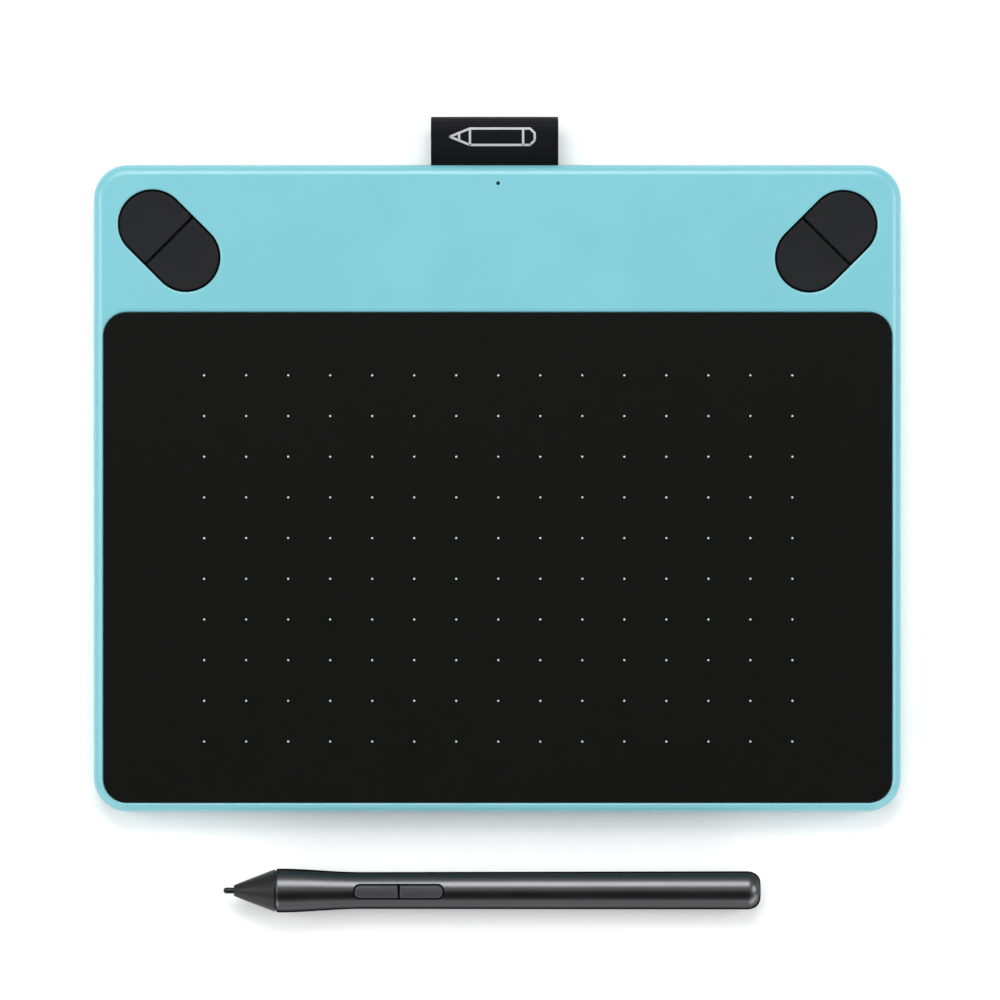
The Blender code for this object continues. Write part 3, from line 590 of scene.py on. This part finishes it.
def add_bay_walls(cover):
    """The ledge round the door, the tub over the bay, and the bosses of the ring and the screws."""
    ledge_z = (FLOOR_TOP_Z - OVERLAP, LEDGE_TOP_Z)
    tub_z = (LEDGE_TOP_Z - OVERLAP, TUB_TOP_Z)
    ring_z = (LEDGE_TOP_Z - OVERLAP, RING_BOSS_TOP_Z)
    join(
        cover,
        box("ledge", (-LEDGE_HALF_X, LEDGE_HALF_X), LEDGE_Y, ledge_z),
        box("tub", (-TUB_HALF_X, TUB_HALF_X), TUB_Y, tub_z),
        rod("ring_boss", RING_BOSS_R, ring_z, ring_place()),
    )
    for name, x, y in screw_places():
        boss_z = (FLOOR_TOP_Z - OVERLAP, screw_seat(name) + 1.2)
        join(cover, rod(f"boss_{name}", SCREW_BOSS_R, boss_z, TABLET @ at(x, y)))


def cut_bay(cover):
    """The door's opening, then the two rooms, the nibs' groove and the ring's pocket above it."""
    lower, upper = DOOR_HALF_X + GAP, DOOR_HALF_X + DOOR_TONGUE + GAP
    section = door_section(lower, upper, (-1.0, TONGUE_Z - GAP, LEDGE_Z))
    cut(cover, along_y("door_opening", section, (DOOR_FRONT_Y - GAP, REAR_Y + 6)))
    low_z = LEDGE_Z - 0.5
    for name, (left, right) in BAY_ROOMS.items():
        outline = rounded_rectangle(right - left, BAY_DEPTH, BAY_CORNER_R, steps=8)
        place = TABLET @ at((left + right) / 2, BAY_Y)
        cut(cover, prism(name, outline, (low_z, BAY_CEILING_Z), place))
    groove = rounded_rectangle(GROOVE_LENGTH, GROOVE_WIDTH, BAY_CORNER_R, steps=8)
    cut(cover, prism("nib_groove", groove, (low_z, GROOVE_TOP_Z), TABLET @ at(0, GROOVE_Y)))
    cut(cover, rod("ring_pocket", RING_POCKET_R, (low_z, RING_POCKET_TOP_Z), ring_place()))


def cut_underside(cover):
    """The screws' bores with their holes, and the feet's recesses with a chamfered mouth."""
    for name, x, y in screw_places():
        seat_z = screw_seat(name)
        place = TABLET @ at(x, y)
        cut(cover, rod(f"bore_{name}", SCREW_BORE_R, (0, seat_z), place))
        cut(cover, rod(f"hole_{name}", SCREW_HOLE_R, (seat_z - 0.5, seat_z + 2), place))
    mouth, wall = circle(FOOT_R + 0.45, 64), circle(FOOT_R + 0.2, 64)
    recess = [(mouth, 0.0), (mouth, UNDERSIDE_Z - 0.01), (wall, UNDERSIDE_Z + 0.24), (wall, FOOT_RECESS_Z)]
    for name, x, y in foot_places():
        cut(cover, stack(f"recess_{name}", recess, TABLET @ at(x, y)))


def ring_place():
    middle = middle_of("nib_ring")
    return TABLET @ at((middle.x - COVER_MIDDLE.x) / MM, (middle.y - COVER_MIDDLE.y) / MM)


def screw_seat(name):
    """The height of the seat under a screw's head."""
    return 3.0 if name.startswith("front") else 3.8


def under_profile(steps):
    """(inset, z) of the bottom cover's outside, from its seam down to the flat underside."""
    seam_z = PARTING_Z - PARTING_GAP
    edge = arc(0.05 + 0.15, seam_z - 0.15, 0.15, 90, 180, 4)
    return edge + arc(0.12 + UNDER_ROUND, UNDERSIDE_Z + UNDER_ROUND, UNDER_ROUND, 180, 270, steps)


def door_section(lower, upper, z, chamfer=0.0):
    right = [(lower - chamfer, z[0])]
    if chamfer:
        right.append((lower, z[0] + chamfer))
    right += [(lower, z[1]), (upper, z[1]), (upper, z[2])]
    return right + [(-x, u) for x, u in reversed(right)]


def make_door(looks):
    z = (UNDERSIDE_Z - 0.1, TONGUE_Z, DOOR_TOP_Z)
    section = door_section(DOOR_HALF_X, DOOR_HALF_X + DOOR_TONGUE, z, 0.3)
    door = along_y("door_panel", section, (DOOR_FRONT_Y, REAR_Y + 6))
    shape(door, [stack("under_form", body_rings([(4.9, PARTING_Z)] + under_profile(18)))], "INTERSECT")
    levels = [(0.35, 0.0), (0.3, UNDERSIDE_Z - 0.01)]
    levels += [(0.0, UNDERSIDE_Z + 0.3), (-0.35, UNDERSIDE_Z + 0.42)]
    for i in range(5):
        place = TABLET @ at(0, DOOR_FRONT_Y + 4.0 + 2.0 * i)
        groove = [(capsule(1.1, 17 - 1.6 * i, -grow, 12), level) for grow, level in levels]
        cut(door, stack(f"thumb_groove_{i}", groove, place))
    settle(door, "door", "cover", looks["mint"], "accessory_door")


def make_film(looks):
    edge = [(-inset, z) for inset, z in arc(-0.12, FILM_TOP_Z - 0.12, 0.12, 0, 90, 4)]
    outlines = [(film_outline(0), FILM_LOW_Z)] + [(film_outline(inset), z) for inset, z in edge]
    film = stack("drawing_film", outlines)
    settle(film, "tablet", "drawing_sheet", looks["film"], "drawing_surface")


def make_dots(looks):
    """The printed grid that marks the active area: low round dots just proud of the film."""
    bm = bmesh.new()
    rings = [(DOT_R, -0.01), (DOT_R, 0.006), (DOT_R * 0.8, 0.014)]
    for row in range(DOT_ROWS):
        for column in range(DOT_COLUMNS):
            x = DOT_MIDDLE[0] + (column - (DOT_COLUMNS - 1) / 2) * DOT_PITCH[0]
            y = DOT_MIDDLE[1] + (row - (DOT_ROWS - 1) / 2) * DOT_PITCH[1]
            rows = []
            for radius, rise in rings:
                points = [(x + u, y + v, FILM_TOP_Z + rise) for u, v in circle(radius, 16)]
                rows.append([bm.verts.new(TABLET @ Vector(point)) for point in points])
            bm.faces.new(rows[0])
            bm.faces.new(rows[-1])
            for low, high in zip(rows, rows[1:]):
                for i, j in zip(range(-1, 15), range(16)):
                    bm.faces.new((low[i], low[j], high[j], high[i]))
    bmesh.ops.recalc_face_normals(bm, faces=bm.faces)
    settle(new_object("dot_grid", bm), "tablet", "white_plastic", looks["dot"])


# ---------------------------------------------------------------- keys


def make_keys(looks):
    radius = WELL_WIDTH / 2 - KEY_SIDE_GAP
    start, end = KEY_SPLIT / 2, WELL_LENGTH / 2 - KEY_SIDE_GAP
    low_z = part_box("key_left_inner")[0].z / MM
    flange_z = low_z + KEY_FLANGE_THICK
    flange = half_capsule(radius + KEY_FLANGE, start + 0.1, end + KEY_FLANGE)
    rings = [(flange, low_z), (flange, flange_z)]
    edge = arc(0, TOP_Z - KEY_EDGE_R, KEY_EDGE_R, 0, 90, 6)
    levels = [(0.0, flange_z)] + [(KEY_EDGE_R - u, v) for u, v in edge]
    levels += [(0.4 + 0.5 * i, TOP_Z - KEY_DISH * sin(pi * i / 16) ** 2) for i in range(1, 9)]
    for inset, z in levels:
        corner = max(0.35, 0.35 + inset * 0.1)
        rings.append((half_capsule(radius - inset, start + inset, end - inset, corner), z))
    for side, x, y, slant in well_places():
        for half, turn in (("inner", slant), ("outer", slant + pi)):
            cap = stack(f"key_cap_{side}_{half}", rings, TABLET @ at(x, y, 0, turn))
            name = f"key_{side}_{half}"
            settle(cap, name, "key", looks["key"], name)


# ---------------------------------------------------------------- ribbon loop


def loop_slope():
    """(reach, half gap, slope) of the ribbon's two straight runs from the slot's mouth to the bend."""
    reach = LOOP_BEND_Y - LOOP_MOUTH_Y
    half_gap = (RIBBON + RIBBON_GAP) / 2
    slope = asin((LOOP_R - RIBBON / 2) / hypot(reach, half_gap)) - atan2(half_gap, reach)
    return reach, half_gap, slope


def loop_path(step):
    """Points along the ribbon's middle, step apart, as (y, z, outward y, outward z, distance along it)."""
    middle_r = LOOP_R - RIBBON / 2
    reach, half_gap, slope = loop_slope()
    inside = LOOP_MOUTH_Y - LOOP_INNER_Y
    straight = sqrt(reach**2 + half_gap**2 - middle_r**2)
    bend = middle_r * (pi + 2 * slope)
    total = 2 * (inside + straight) + bend
    count = ceil(total / step)
    points = []
    for i in range(count + 1):
        s = total * i / count
        mirrored = s > total / 2
        d = total - s if mirrored else s
        if d < inside:
            y, z, a = LOOP_INNER_Y + d, -half_gap, -pi / 2
        elif d < inside + straight:
            run = d - inside
            y, z, a = LOOP_MOUTH_Y + run * cos(slope), -half_gap - run * sin(slope), -pi / 2 - slope
        else:
            a = -pi / 2 - slope + (d - inside - straight) / middle_r
            y, z = LOOP_BEND_Y + middle_r * cos(a), middle_r * sin(a)
        if mirrored:
            z, a = -z, -a
        points.append((y, LOOP_Z + z, cos(a), sin(a), s))
    return points, total


def make_ribbon(looks):
    """A grosgrain ribbon: ribs across its length, warp yarns that dip between them, and a tight edge."""
    path, length = loop_path(RIB_PITCH / 8)
    count = round(LOOP.x / (WARP_PITCH / 2))
    columns = [LOOP.x * (i / count - 0.5) for i in range(count + 1)]
    rings = []
    for i, x in enumerate(columns):
        edge = min(abs(x + LOOP.x / 2), abs(LOOP.x / 2 - x))
        yarn = 1.0 if i % 2 else 0.72
        thin = 0.35 if edge < 0.05 else 1.0
        outer, inner = [], []
        for y, z, out_y, out_z, s in path:
            rib = sqrt(abs(sin(pi * s / RIB_PITCH)))
            high = RIB_HEIGHT * (rib * yarn if edge > SELVEDGE else 0.8 + 0.2 * rib)
            half = (RIBBON / 2 - RIB_HEIGHT + high) * thin
            outer.append((LOOP_X + x, y + out_y * half, z + out_z * half))
            inner.append((LOOP_X + x, y - out_y * half, z - out_z * half))
        rings.append(outer + inner[::-1])
    ribbon = skin("loop_ribbon", rings)
    settle(ribbon, "tablet", "ribbon", looks["ribbon"], "pen_loop", sharp=70)
    mark = make_loop_mark(looks)


def ribbon_top(y):
    """The height of the loop's upper side at y."""
    slope = loop_slope()[2]
    touch_y = LOOP_BEND_Y - LOOP_R * sin(slope)
    if y > touch_y:
        return LOOP_Z + sqrt(max(LOOP_R**2 - (y - LOOP_BEND_Y) ** 2, 0))
    return LOOP_Z + LOOP_R * cos(slope) - (touch_y - y) * sin(slope) / cos(slope)


def make_loop_mark(looks):
    """A generic mark printed on the loop: the outline of a pen lying along it."""
    half, left, right, point = 2.1, -6.4, 10.4, -11.6
    end = [(right - 1.2, half), (right, half - 1.2), (right, 1.2 - half), (right - 1.2, -half)]
    outline = [(left, half)] + end + [(left, -half), (point, 0.0), (left, half)]
    lines = [[(left, half), (left, -half)], [(7.4, half), (7.4, -half)], [(-9.2, 0.7), (-9.2, -0.7)]]
    strokes = [outline] + lines
    bm = bmesh.new()
    for stroke in strokes:
        for start, end in zip(stroke, stroke[1:]):
            add_print_line(bm, Vector(start), Vector(end))
    bmesh.ops.recalc_face_normals(bm, faces=bm.faces)
    mark = new_object("loop_mark", bm)
    return settle(mark, "tablet", "white_plastic", looks["print"])


def add_print_line(bm, start, end):
    """A raised line with round ends on the ribbon's upper side, followed in short steps."""
    way = (end - start).normalized()
    across = Vector((-way.y, way.x)) * MARK_LINE / 2
    run = (end - start).length
    steps = max(2, ceil(run / 0.4))
    stations = [(-0.5 * MARK_LINE * cos(a), sin(a)) for a in (radians(18), radians(45), radians(70))]
    stations = [(u, max(w, 0.3)) for u, w in stations]
    stations += [(run * i / steps, 1.0) for i in range(steps + 1)]
    stations += [(run - u, w) for u, w in reversed(stations[:3])]
    rows = []
    for u, w in stations:
        centre = start + way * u
        row = []
        for side, rise in ((-1, -0.12), (-1, 0.02), (1, 0.02), (1, -0.12)):
            x, y = centre + across * side * w
            point = (LOOP_X + x, MARK_Y + y, ribbon_top(MARK_Y + y) + rise)
            row.append(bm.verts.new(TABLET @ Vector(point)))
        rows.append(row)
    bm.faces.new(rows[0])
    bm.faces.new(rows[-1])
    for low, high in zip(rows, rows[1:]):
        for i in range(4):
            j = (i + 1) % 4
            bm.faces.new((low[i], low[j], high[j], high[i]))


# ---------------------------------------------------------------- small parts of the tablet


def make_feet(looks):
    """Round rubber pads with a soft edge and two shallow rings that grip the table."""
    for name, x, y in foot_places():
        profile = [(0.4, 0.14), (0.5, 0.0)]
        for ring in (1.7, 3.1):
            profile += [(ring, 0.0), (ring + 0.12, 0.14), (ring + 0.38, 0.14), (ring + 0.5, 0.0)]
        profile += [(FOOT_R - 0.5 + u, v) for u, v in arc(0, 0.5, 0.5, 270, 360, 6)]
        profile.append((FOOT_R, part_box(f"foot_{name}")[1].z / MM))
        pad = stack(f"foot_pad_{name}", [(circle(r, 64), z) for r, z in profile], TABLET @ at(x, y))
        settle(pad, "tablet", "foot", looks["rubber"], f"foot_{name}")


def screw_profile(low, high):
    """(radius, z) from a pan head's crown, over its rounded edge and down a threaded shank to the tip."""
    edge = [(SCREW_HEAD_R - 0.4 + 0.4 * u, low + 0.4 - 0.4 * v) for u, v in arc(0, 0, 1, 90, 0, 6)]
    z = low + SCREW_HEAD
    profile = edge + [(SCREW_HEAD_R, z), (SCREW_R, z), (SCREW_R - THREAD, z + 0.3)]
    z += 0.3
    while z + PITCH < high - 0.5:
        profile += [(SCREW_R, z + PITCH / 2), (SCREW_R - THREAD, z + PITCH)]
        z += PITCH
    return profile + [(0.35, high)]


def make_screws(looks):
    """Pan head screws with a cross recess."""
    for name, *middle in screw_places():
        low, high = (corner.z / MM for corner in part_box(f"screw_{name}"))
        place = TABLET @ at(*middle)
        rings = [(circle(r, 40), z) for r, z in screw_profile(low, high)]
        screw = stack(f"cross_screw_{name}", rings, place)
        for i in range(2):
            arm = []
            for taper, depth in ((0, -1), (0, 0), (0.9, 0.75)):
                x, y = (2.3 - taper) / 2, (0.55 - taper / 3) / 2
                arm.append(([(-x, -y), (x, -y), (x, y), (-x, y)], low + depth))
            cut(screw, stack(f"arm_{name}_{i}", arm, place @ at(turn=i * pi / 2)))
        settle(screw, "tablet", "steel", looks["steel"], f"screw_{name}")


def make_socket(looks):
    """The folded steel shell of the charging and data socket, its tongue, and five contacts."""
    (mouth_x, _, low_z), (back_x, _, high_z) = (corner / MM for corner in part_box("usb_socket"))
    place = TABLET @ at(0, SOCKET_Y)

    def section(grow):
        half, bottom, top, chamfer = SOCKET.y / 2 + grow, low_z - grow, high_z + grow, 0.9 + 0.4 * grow
        corner = arc(half - 0.35, top - 0.35, 0.35, 0, 90, 6)
        right = [(half - chamfer, bottom), (half, bottom + chamfer)] + corner
        return right + [(-y, z) for y, z in reversed(right)]

    def shell(name, grow, x):
        return skin(name, [[(u, y, z) for y, z in section(g)] for u, g in zip(x, grow)], place)

    socket = shell("socket_shell", (-0.05, 0.0, 0.0), (mouth_x, mouth_x + 0.12, back_x))
    cut(socket, shell("mouth", (-0.2, -0.3, -0.3), (mouth_x - 1, mouth_x + 0.3, back_x - 0.5)))
    settle(socket, "tablet", "steel", looks["steel"], "usb_socket")
    middle_z = (low_z + high_z) / 2
    make_tongue(looks, place, (mouth_x + 0.7, back_x - 0.2), middle_z)
    for i in range(5):
        make_contact(looks, place, i, (mouth_x + 0.9, back_x - 0.4), middle_z)


def make_tongue(looks, place, x, middle_z):
    """The plastic blade that the contacts lie on, with bevelled edges and round corners."""
    length, middle_x = x[1] - x[0], sum(x) / 2
    low, high, bevel = middle_z + 0.05, middle_z + 0.6, 0.12
    levels = [(bevel, low), (0.0, low + bevel), (0.0, high - bevel), (bevel, high)]
    outlines = [(rounded_rectangle(length, TONGUE_WIDTH, 0.5, inset, steps=6), z) for inset, z in levels]
    tongue = stack("socket_tongue", outlines, place @ at(middle_x))
    settle(tongue, "tablet", "chip", looks["chip"])


def make_contact(looks, place, i, x, middle_z):
    """One gold strip: a tapered lead-in at its front, then a low swell that the plug's contact rides on."""
    start, end = x
    swell = [(0.0, 0.05), (0.15, 0.0), (0.5, -0.03), (0.9, -0.05), (1.3, -0.03), (1.7, -0.02)]
    low = [(start + u, middle_z + v) for u, v in swell]
    section = low + [(end, middle_z - 0.02), (end, middle_z + 0.1), (start, middle_z + 0.1)]
    y = (i - 2) * CONTACT_PITCH
    sides = (y - CONTACT_WIDTH / 2, y + CONTACT_WIDTH / 2)
    contact = along_y(f"socket_contact_{i + 1}", section, sides, place)
    settle(contact, "tablet", "contact_metal", looks["gold"])


# ---------------------------------------------------------------- pen


def barrel_radius(x):
    if x < WAIST_X:
        t = (WAIST_X - x) / (WAIST_X - FLARE_X)
        return WAIST_R + (FLARE_R - WAIST_R) * t * t * (3 - 2 * t)
    return WAIST_R + (BUTT_R - WAIST_R) * (x - WAIST_X) / (BUTT_X - WAIST_X)


def make_barrel(looks):
    bore = [(135.4, BORE_R - 0.8), (134.6, BORE_R), (BARREL_START_X, BORE_R)]
    edge = [(BARREL_START_X + u, FLARE_R - v) for u, v in ((0.0, 0.2), (0.05, 0.08), (0.17, 0.03))]
    grip = [FLARE_X + (WAIST_X - FLARE_X) * i / 20 for i in range(21)]
    shaft = [WAIST_X + (BUTT_ROUND_X - WAIST_X) * i / 12 for i in range(1, 13)]
    outside = [(x, barrel_radius(x)) for x in grip + shaft]
    barrel = turned("barrel_skin", bore + edge + outside + butt_profile())
    slot = rounded_rectangle(SLOT_LENGTH, SLOT_WIDTH, SLOT_CORNER, steps=12)
    cut(barrel, prism("slot", slot, (1.5, 8.0), PEN @ at(SLOT_X)))
    settle(barrel, "pen", "pen_barrel", looks["barrel"], "pen_barrel")


def butt_profile():
    """The barrel's rear end: a long rounding into a small flat."""
    radius = barrel_radius(BUTT_ROUND_X)
    fall = 2.7
    curve = []
    for i in range(1, 19):
        a = radians(90 - 90 * i / 18)
        curve.append((BUTT_ROUND_X + (PEN_LENGTH - BUTT_ROUND_X) * cos(a), radius - fall + fall * sin(a)))
    return curve


def make_nose(looks):
    tip = [(NOSE_TIP_X + 0.12, NOSE_TIP_R), (NOSE_TIP_X, NOSE_TIP_R - 0.12), (NOSE_TIP_X, NIB_R + 0.3)]
    shank_r, step_r, step_x = BORE_R - GAP, NOSE_R - 0.15, BARREL_START_X - 0.15
    back = [(17.4, shank_r), (step_x, shank_r), (step_x, step_r), (NOSE_END_X, step_r)]
    back += [(NOSE_END_X, NOSE_R - 0.1), (NOSE_END_X - 0.1, NOSE_R)]
    cone = []
    for i in range(1, 12):
        t = i / 12
        x = NOSE_END_X - 0.1 + (NOSE_TIP_X + 0.22 - NOSE_END_X) * t
        cone.append((x, NOSE_R + (NOSE_TIP_R - NOSE_R) * t + 0.07 * sin(pi * t)))
    inside = [(6.2, NIB_R + 0.3), (6.2, 1.8), (9.5, 2.95), (17.4, 2.95)]
    nose = turned("nose_cone", back + cone + tip + inside, hollow=True)
    settle(nose, "pen", "pen_trim", looks["nose"], "pen_nose")


def make_nib(looks):
    tip = [(0.8 - 0.8 * cos(a), 0.12 + (NIB_R - 0.12) * sin(a)) for a in map(radians, range(6, 91, 12))]
    profile = tip + [(15.6, NIB_R), (16.4, 0.7), (24.6, 0.7), (24.8, 0.5)]
    settle(turned("nib_tip", profile, steps=48), "nib", "nib", looks["nib"], "pen_nib")


def make_buttons(looks):
    """Two matt buttons whose tops follow the barrel's curve, a little proud of it."""
    half_width = SLOT_WIDTH / 2 - BUTTON_GAP
    start, end = BUTTON_SPLIT / 2, SLOT_LENGTH / 2 - BUTTON_GAP
    surface_r = barrel_radius(SLOT_X) + BUTTON_PROUD

    def outline(inset):
        nose = SLOT_CORNER - BUTTON_GAP - inset * 0.5
        return half_capsule(half_width - inset, start + inset, end - inset, 0.25, nose)

    flange = half_capsule(half_width + 0.55, start + 0.1, end + 0.55)
    rings = [[(x, y, z) for x, y in flange] for z in (2.0, 2.6)]
    rings.append([(x, y, 2.6) for x, y in outline(0)])
    drops = [(0.0, 0.3), (0.04, 0.16), (0.12, 0.06)]
    drops += [(inset, 0.0) for inset in (0.26, 0.6, 1.0, 1.4, 1.62)]
    for inset, drop in drops:
        rings.append([(x, y, sqrt(surface_r**2 - y * y) - drop) for x, y in outline(inset)])
    for name, turn in (("front", pi), ("rear", 0.0)):
        place = PEN @ at(SLOT_X, 0, 0, turn)
        button = skin(f"side_button_{name}", rings, place)
        join(button, rod(f"post_{name}", 0.8, (1.5, 2.3), place @ at(5.6), steps=24))
        settle(button, f"side_switch_{name}", "pen_trim", looks["button"], f"side_switch_{name}")


# ---------------------------------------------------------------- what stays from the frame


def dress_frame(looks):
    """Materials for the CAD nodes that show as they are: boards, chips and other inner pieces."""
    by_look = {
        "board": ["sensor_board", "main_board", "pen_board"],
        "steel": ["shield_plate", "nib_ring"],
        "gold": ["battery_contact_front", "battery_contact_rear"],
        "winding": ["pen_coil"],
        "ferrite": ["ferrite_core"],
        "chip": ["controller_chip", "sensor_chip", "module_connector", "pressure_sensor", "pen_carrier"],
        "film_amber": ["flex_cable"],
        "clear": ["light_guide"],
        "white": ["flex_connector", "status_led", "loop_anchor", "nib_holder"],
        "nib": ["spare_nib_1", "spare_nib_2", "spare_nib_3"],
        "rubber": ["rear_bumper"],
    }
    for side in ("left", "right"):
        for half in ("inner", "outer"):
            by_look["chip"].append(f"key_{side}_{half}_switch")
            by_look["white"].append(f"key_{side}_{half}_plunger")
    by_look["white"] += ["side_switch_front_contact", "side_switch_rear_contact"]
    for look, nodes in by_look.items():
        for name in nodes:
            node = frame["nodes"][name]
            node.data.materials.clear()
            node.data.materials.append(looks[look])


# ---------------------------------------------------------------- camera, light and floor


def make_camera():
    """A long lens straight above the set, which all but removes perspective."""
    camera = bpy.data.objects.new("camera", bpy.data.cameras.new("camera"))
    bpy.context.scene.collection.objects.link(camera)
    camera.data.lens = 200
    camera.data.sensor_width = 36
    view_width, plane_z = 259.8 * MM, 7.0 * MM
    aim = Vector((0.70 * MM, COVER_MIDDLE.y - 3.05 * MM, plane_z))
    camera.location = aim + Vector((0, 0, view_width * camera.data.lens / camera.data.sensor_width))
    camera.data.clip_start, camera.data.clip_end = 0.01, 20
    bpy.context.scene.camera = camera


def area_light(name, place, size, watts):
    """A rectangular softbox that faces the middle of the set."""
    data = bpy.data.lights.new(name, "AREA")
    data.shape = "RECTANGLE"
    data.size, data.size_y = size
    data.energy = watts
    lamp = bpy.data.objects.new(name, data)
    bpy.context.scene.collection.objects.link(lamp)
    lamp.location = place
    lamp.rotation_euler = (-Vector(place)).to_track_quat("-Z", "Y").to_euler()


def make_sky():
    """A soft ring of light: dark overhead, where flat faces would mirror it, and dim along the horizon."""
    world = bpy.data.worlds.new("studio")
    bpy.context.scene.world = world
    world.use_nodes = True
    tree = world.node_tree
    ray = tree.nodes.new("ShaderNodeTexCoord").outputs["Generated"]

    def band(axis, start, end, low, high):
        dot = tree.nodes.new("ShaderNodeVectorMath")
        dot.operation = "DOT_PRODUCT"
        dot.inputs[1].default_value = axis
        tree.links.new(ray, dot.inputs[0])
        ramp = tree.nodes.new("ShaderNodeMapRange")
        ramp.interpolation_type = "SMOOTHSTEP"
        for key, value in (("From Min", start), ("From Max", end), ("To Min", low), ("To Max", high)):
            ramp.inputs[key].default_value = value
        tree.links.new(dot.outputs["Value"], ramp.inputs["Value"])
        return ramp.outputs["Result"]

    tilt = radians(27)
    light = band((0, -sin(tilt), cos(tilt)), 0.80, 0.94, SKY_LIGHT, SKY_LIGHT * 0.02)
    for factor in (band((0, 0, 1), 0.0, 0.25, 0.4, 1.0), band((0, -1, 0), 0.3, 0.9, 1.0, 1.4)):
        product = tree.nodes.new("ShaderNodeMath")
        product.operation = "MULTIPLY"
        tree.links.new(light, product.inputs[0])
        tree.links.new(factor, product.inputs[1])
        light = product.outputs["Value"]
    tree.links.new(light, tree.nodes["Background"].inputs["Strength"])
    tree.nodes["Background"].inputs["Color"].default_value = (1, 1, 1, 1)


def make_floor():
    bm = bmesh.new()
    half = 6.0
    corners = ((-half, -half), (half, -half), (half, half), (-half, half))
    bm.faces.new([bm.verts.new((x, y, -0.00005)) for x, y in corners])
    floor = new_object("floor", bm)
    look = Look("pale_floor", (0.90, 0.90, 0.90), 0.9, emission_strength=0.03)
    look.tint(look.noise(0.0005), 0.99, 1.01)
    floor.data.materials.append(look.material)


def make_studio():
    make_floor()
    make_sky()
    area_light("rear_softbox", (-0.05, 0.63, 0.775), (0.7, 0.5), REAR_WATTS)
    for side, sign in (("left", -1), ("right", 1)):
        area_light(f"{side}_softbox", (sign * 0.78, 0.06, 0.62), (0.45, 0.45), SIDE_WATTS)
        area_light(f"front_{side}_strip", (sign * 0.62, -0.76, 0.25), (0.95, 0.4), FRONT_WATTS)
    bpy.context.scene.view_settings.view_transform = "Standard"


make_camera()
make_studio()
looks = make_looks()
make_cover_top(looks)
make_cover_bottom(looks)
make_door(looks)
make_film(looks)
make_dots(looks)
make_keys(looks)
make_ribbon(looks)
make_feet(looks)
make_screws(looks)
make_socket(looks)
make_barrel(looks)
make_nose(looks)
make_nib(looks)
make_buttons(looks)
dress_frame(looks)
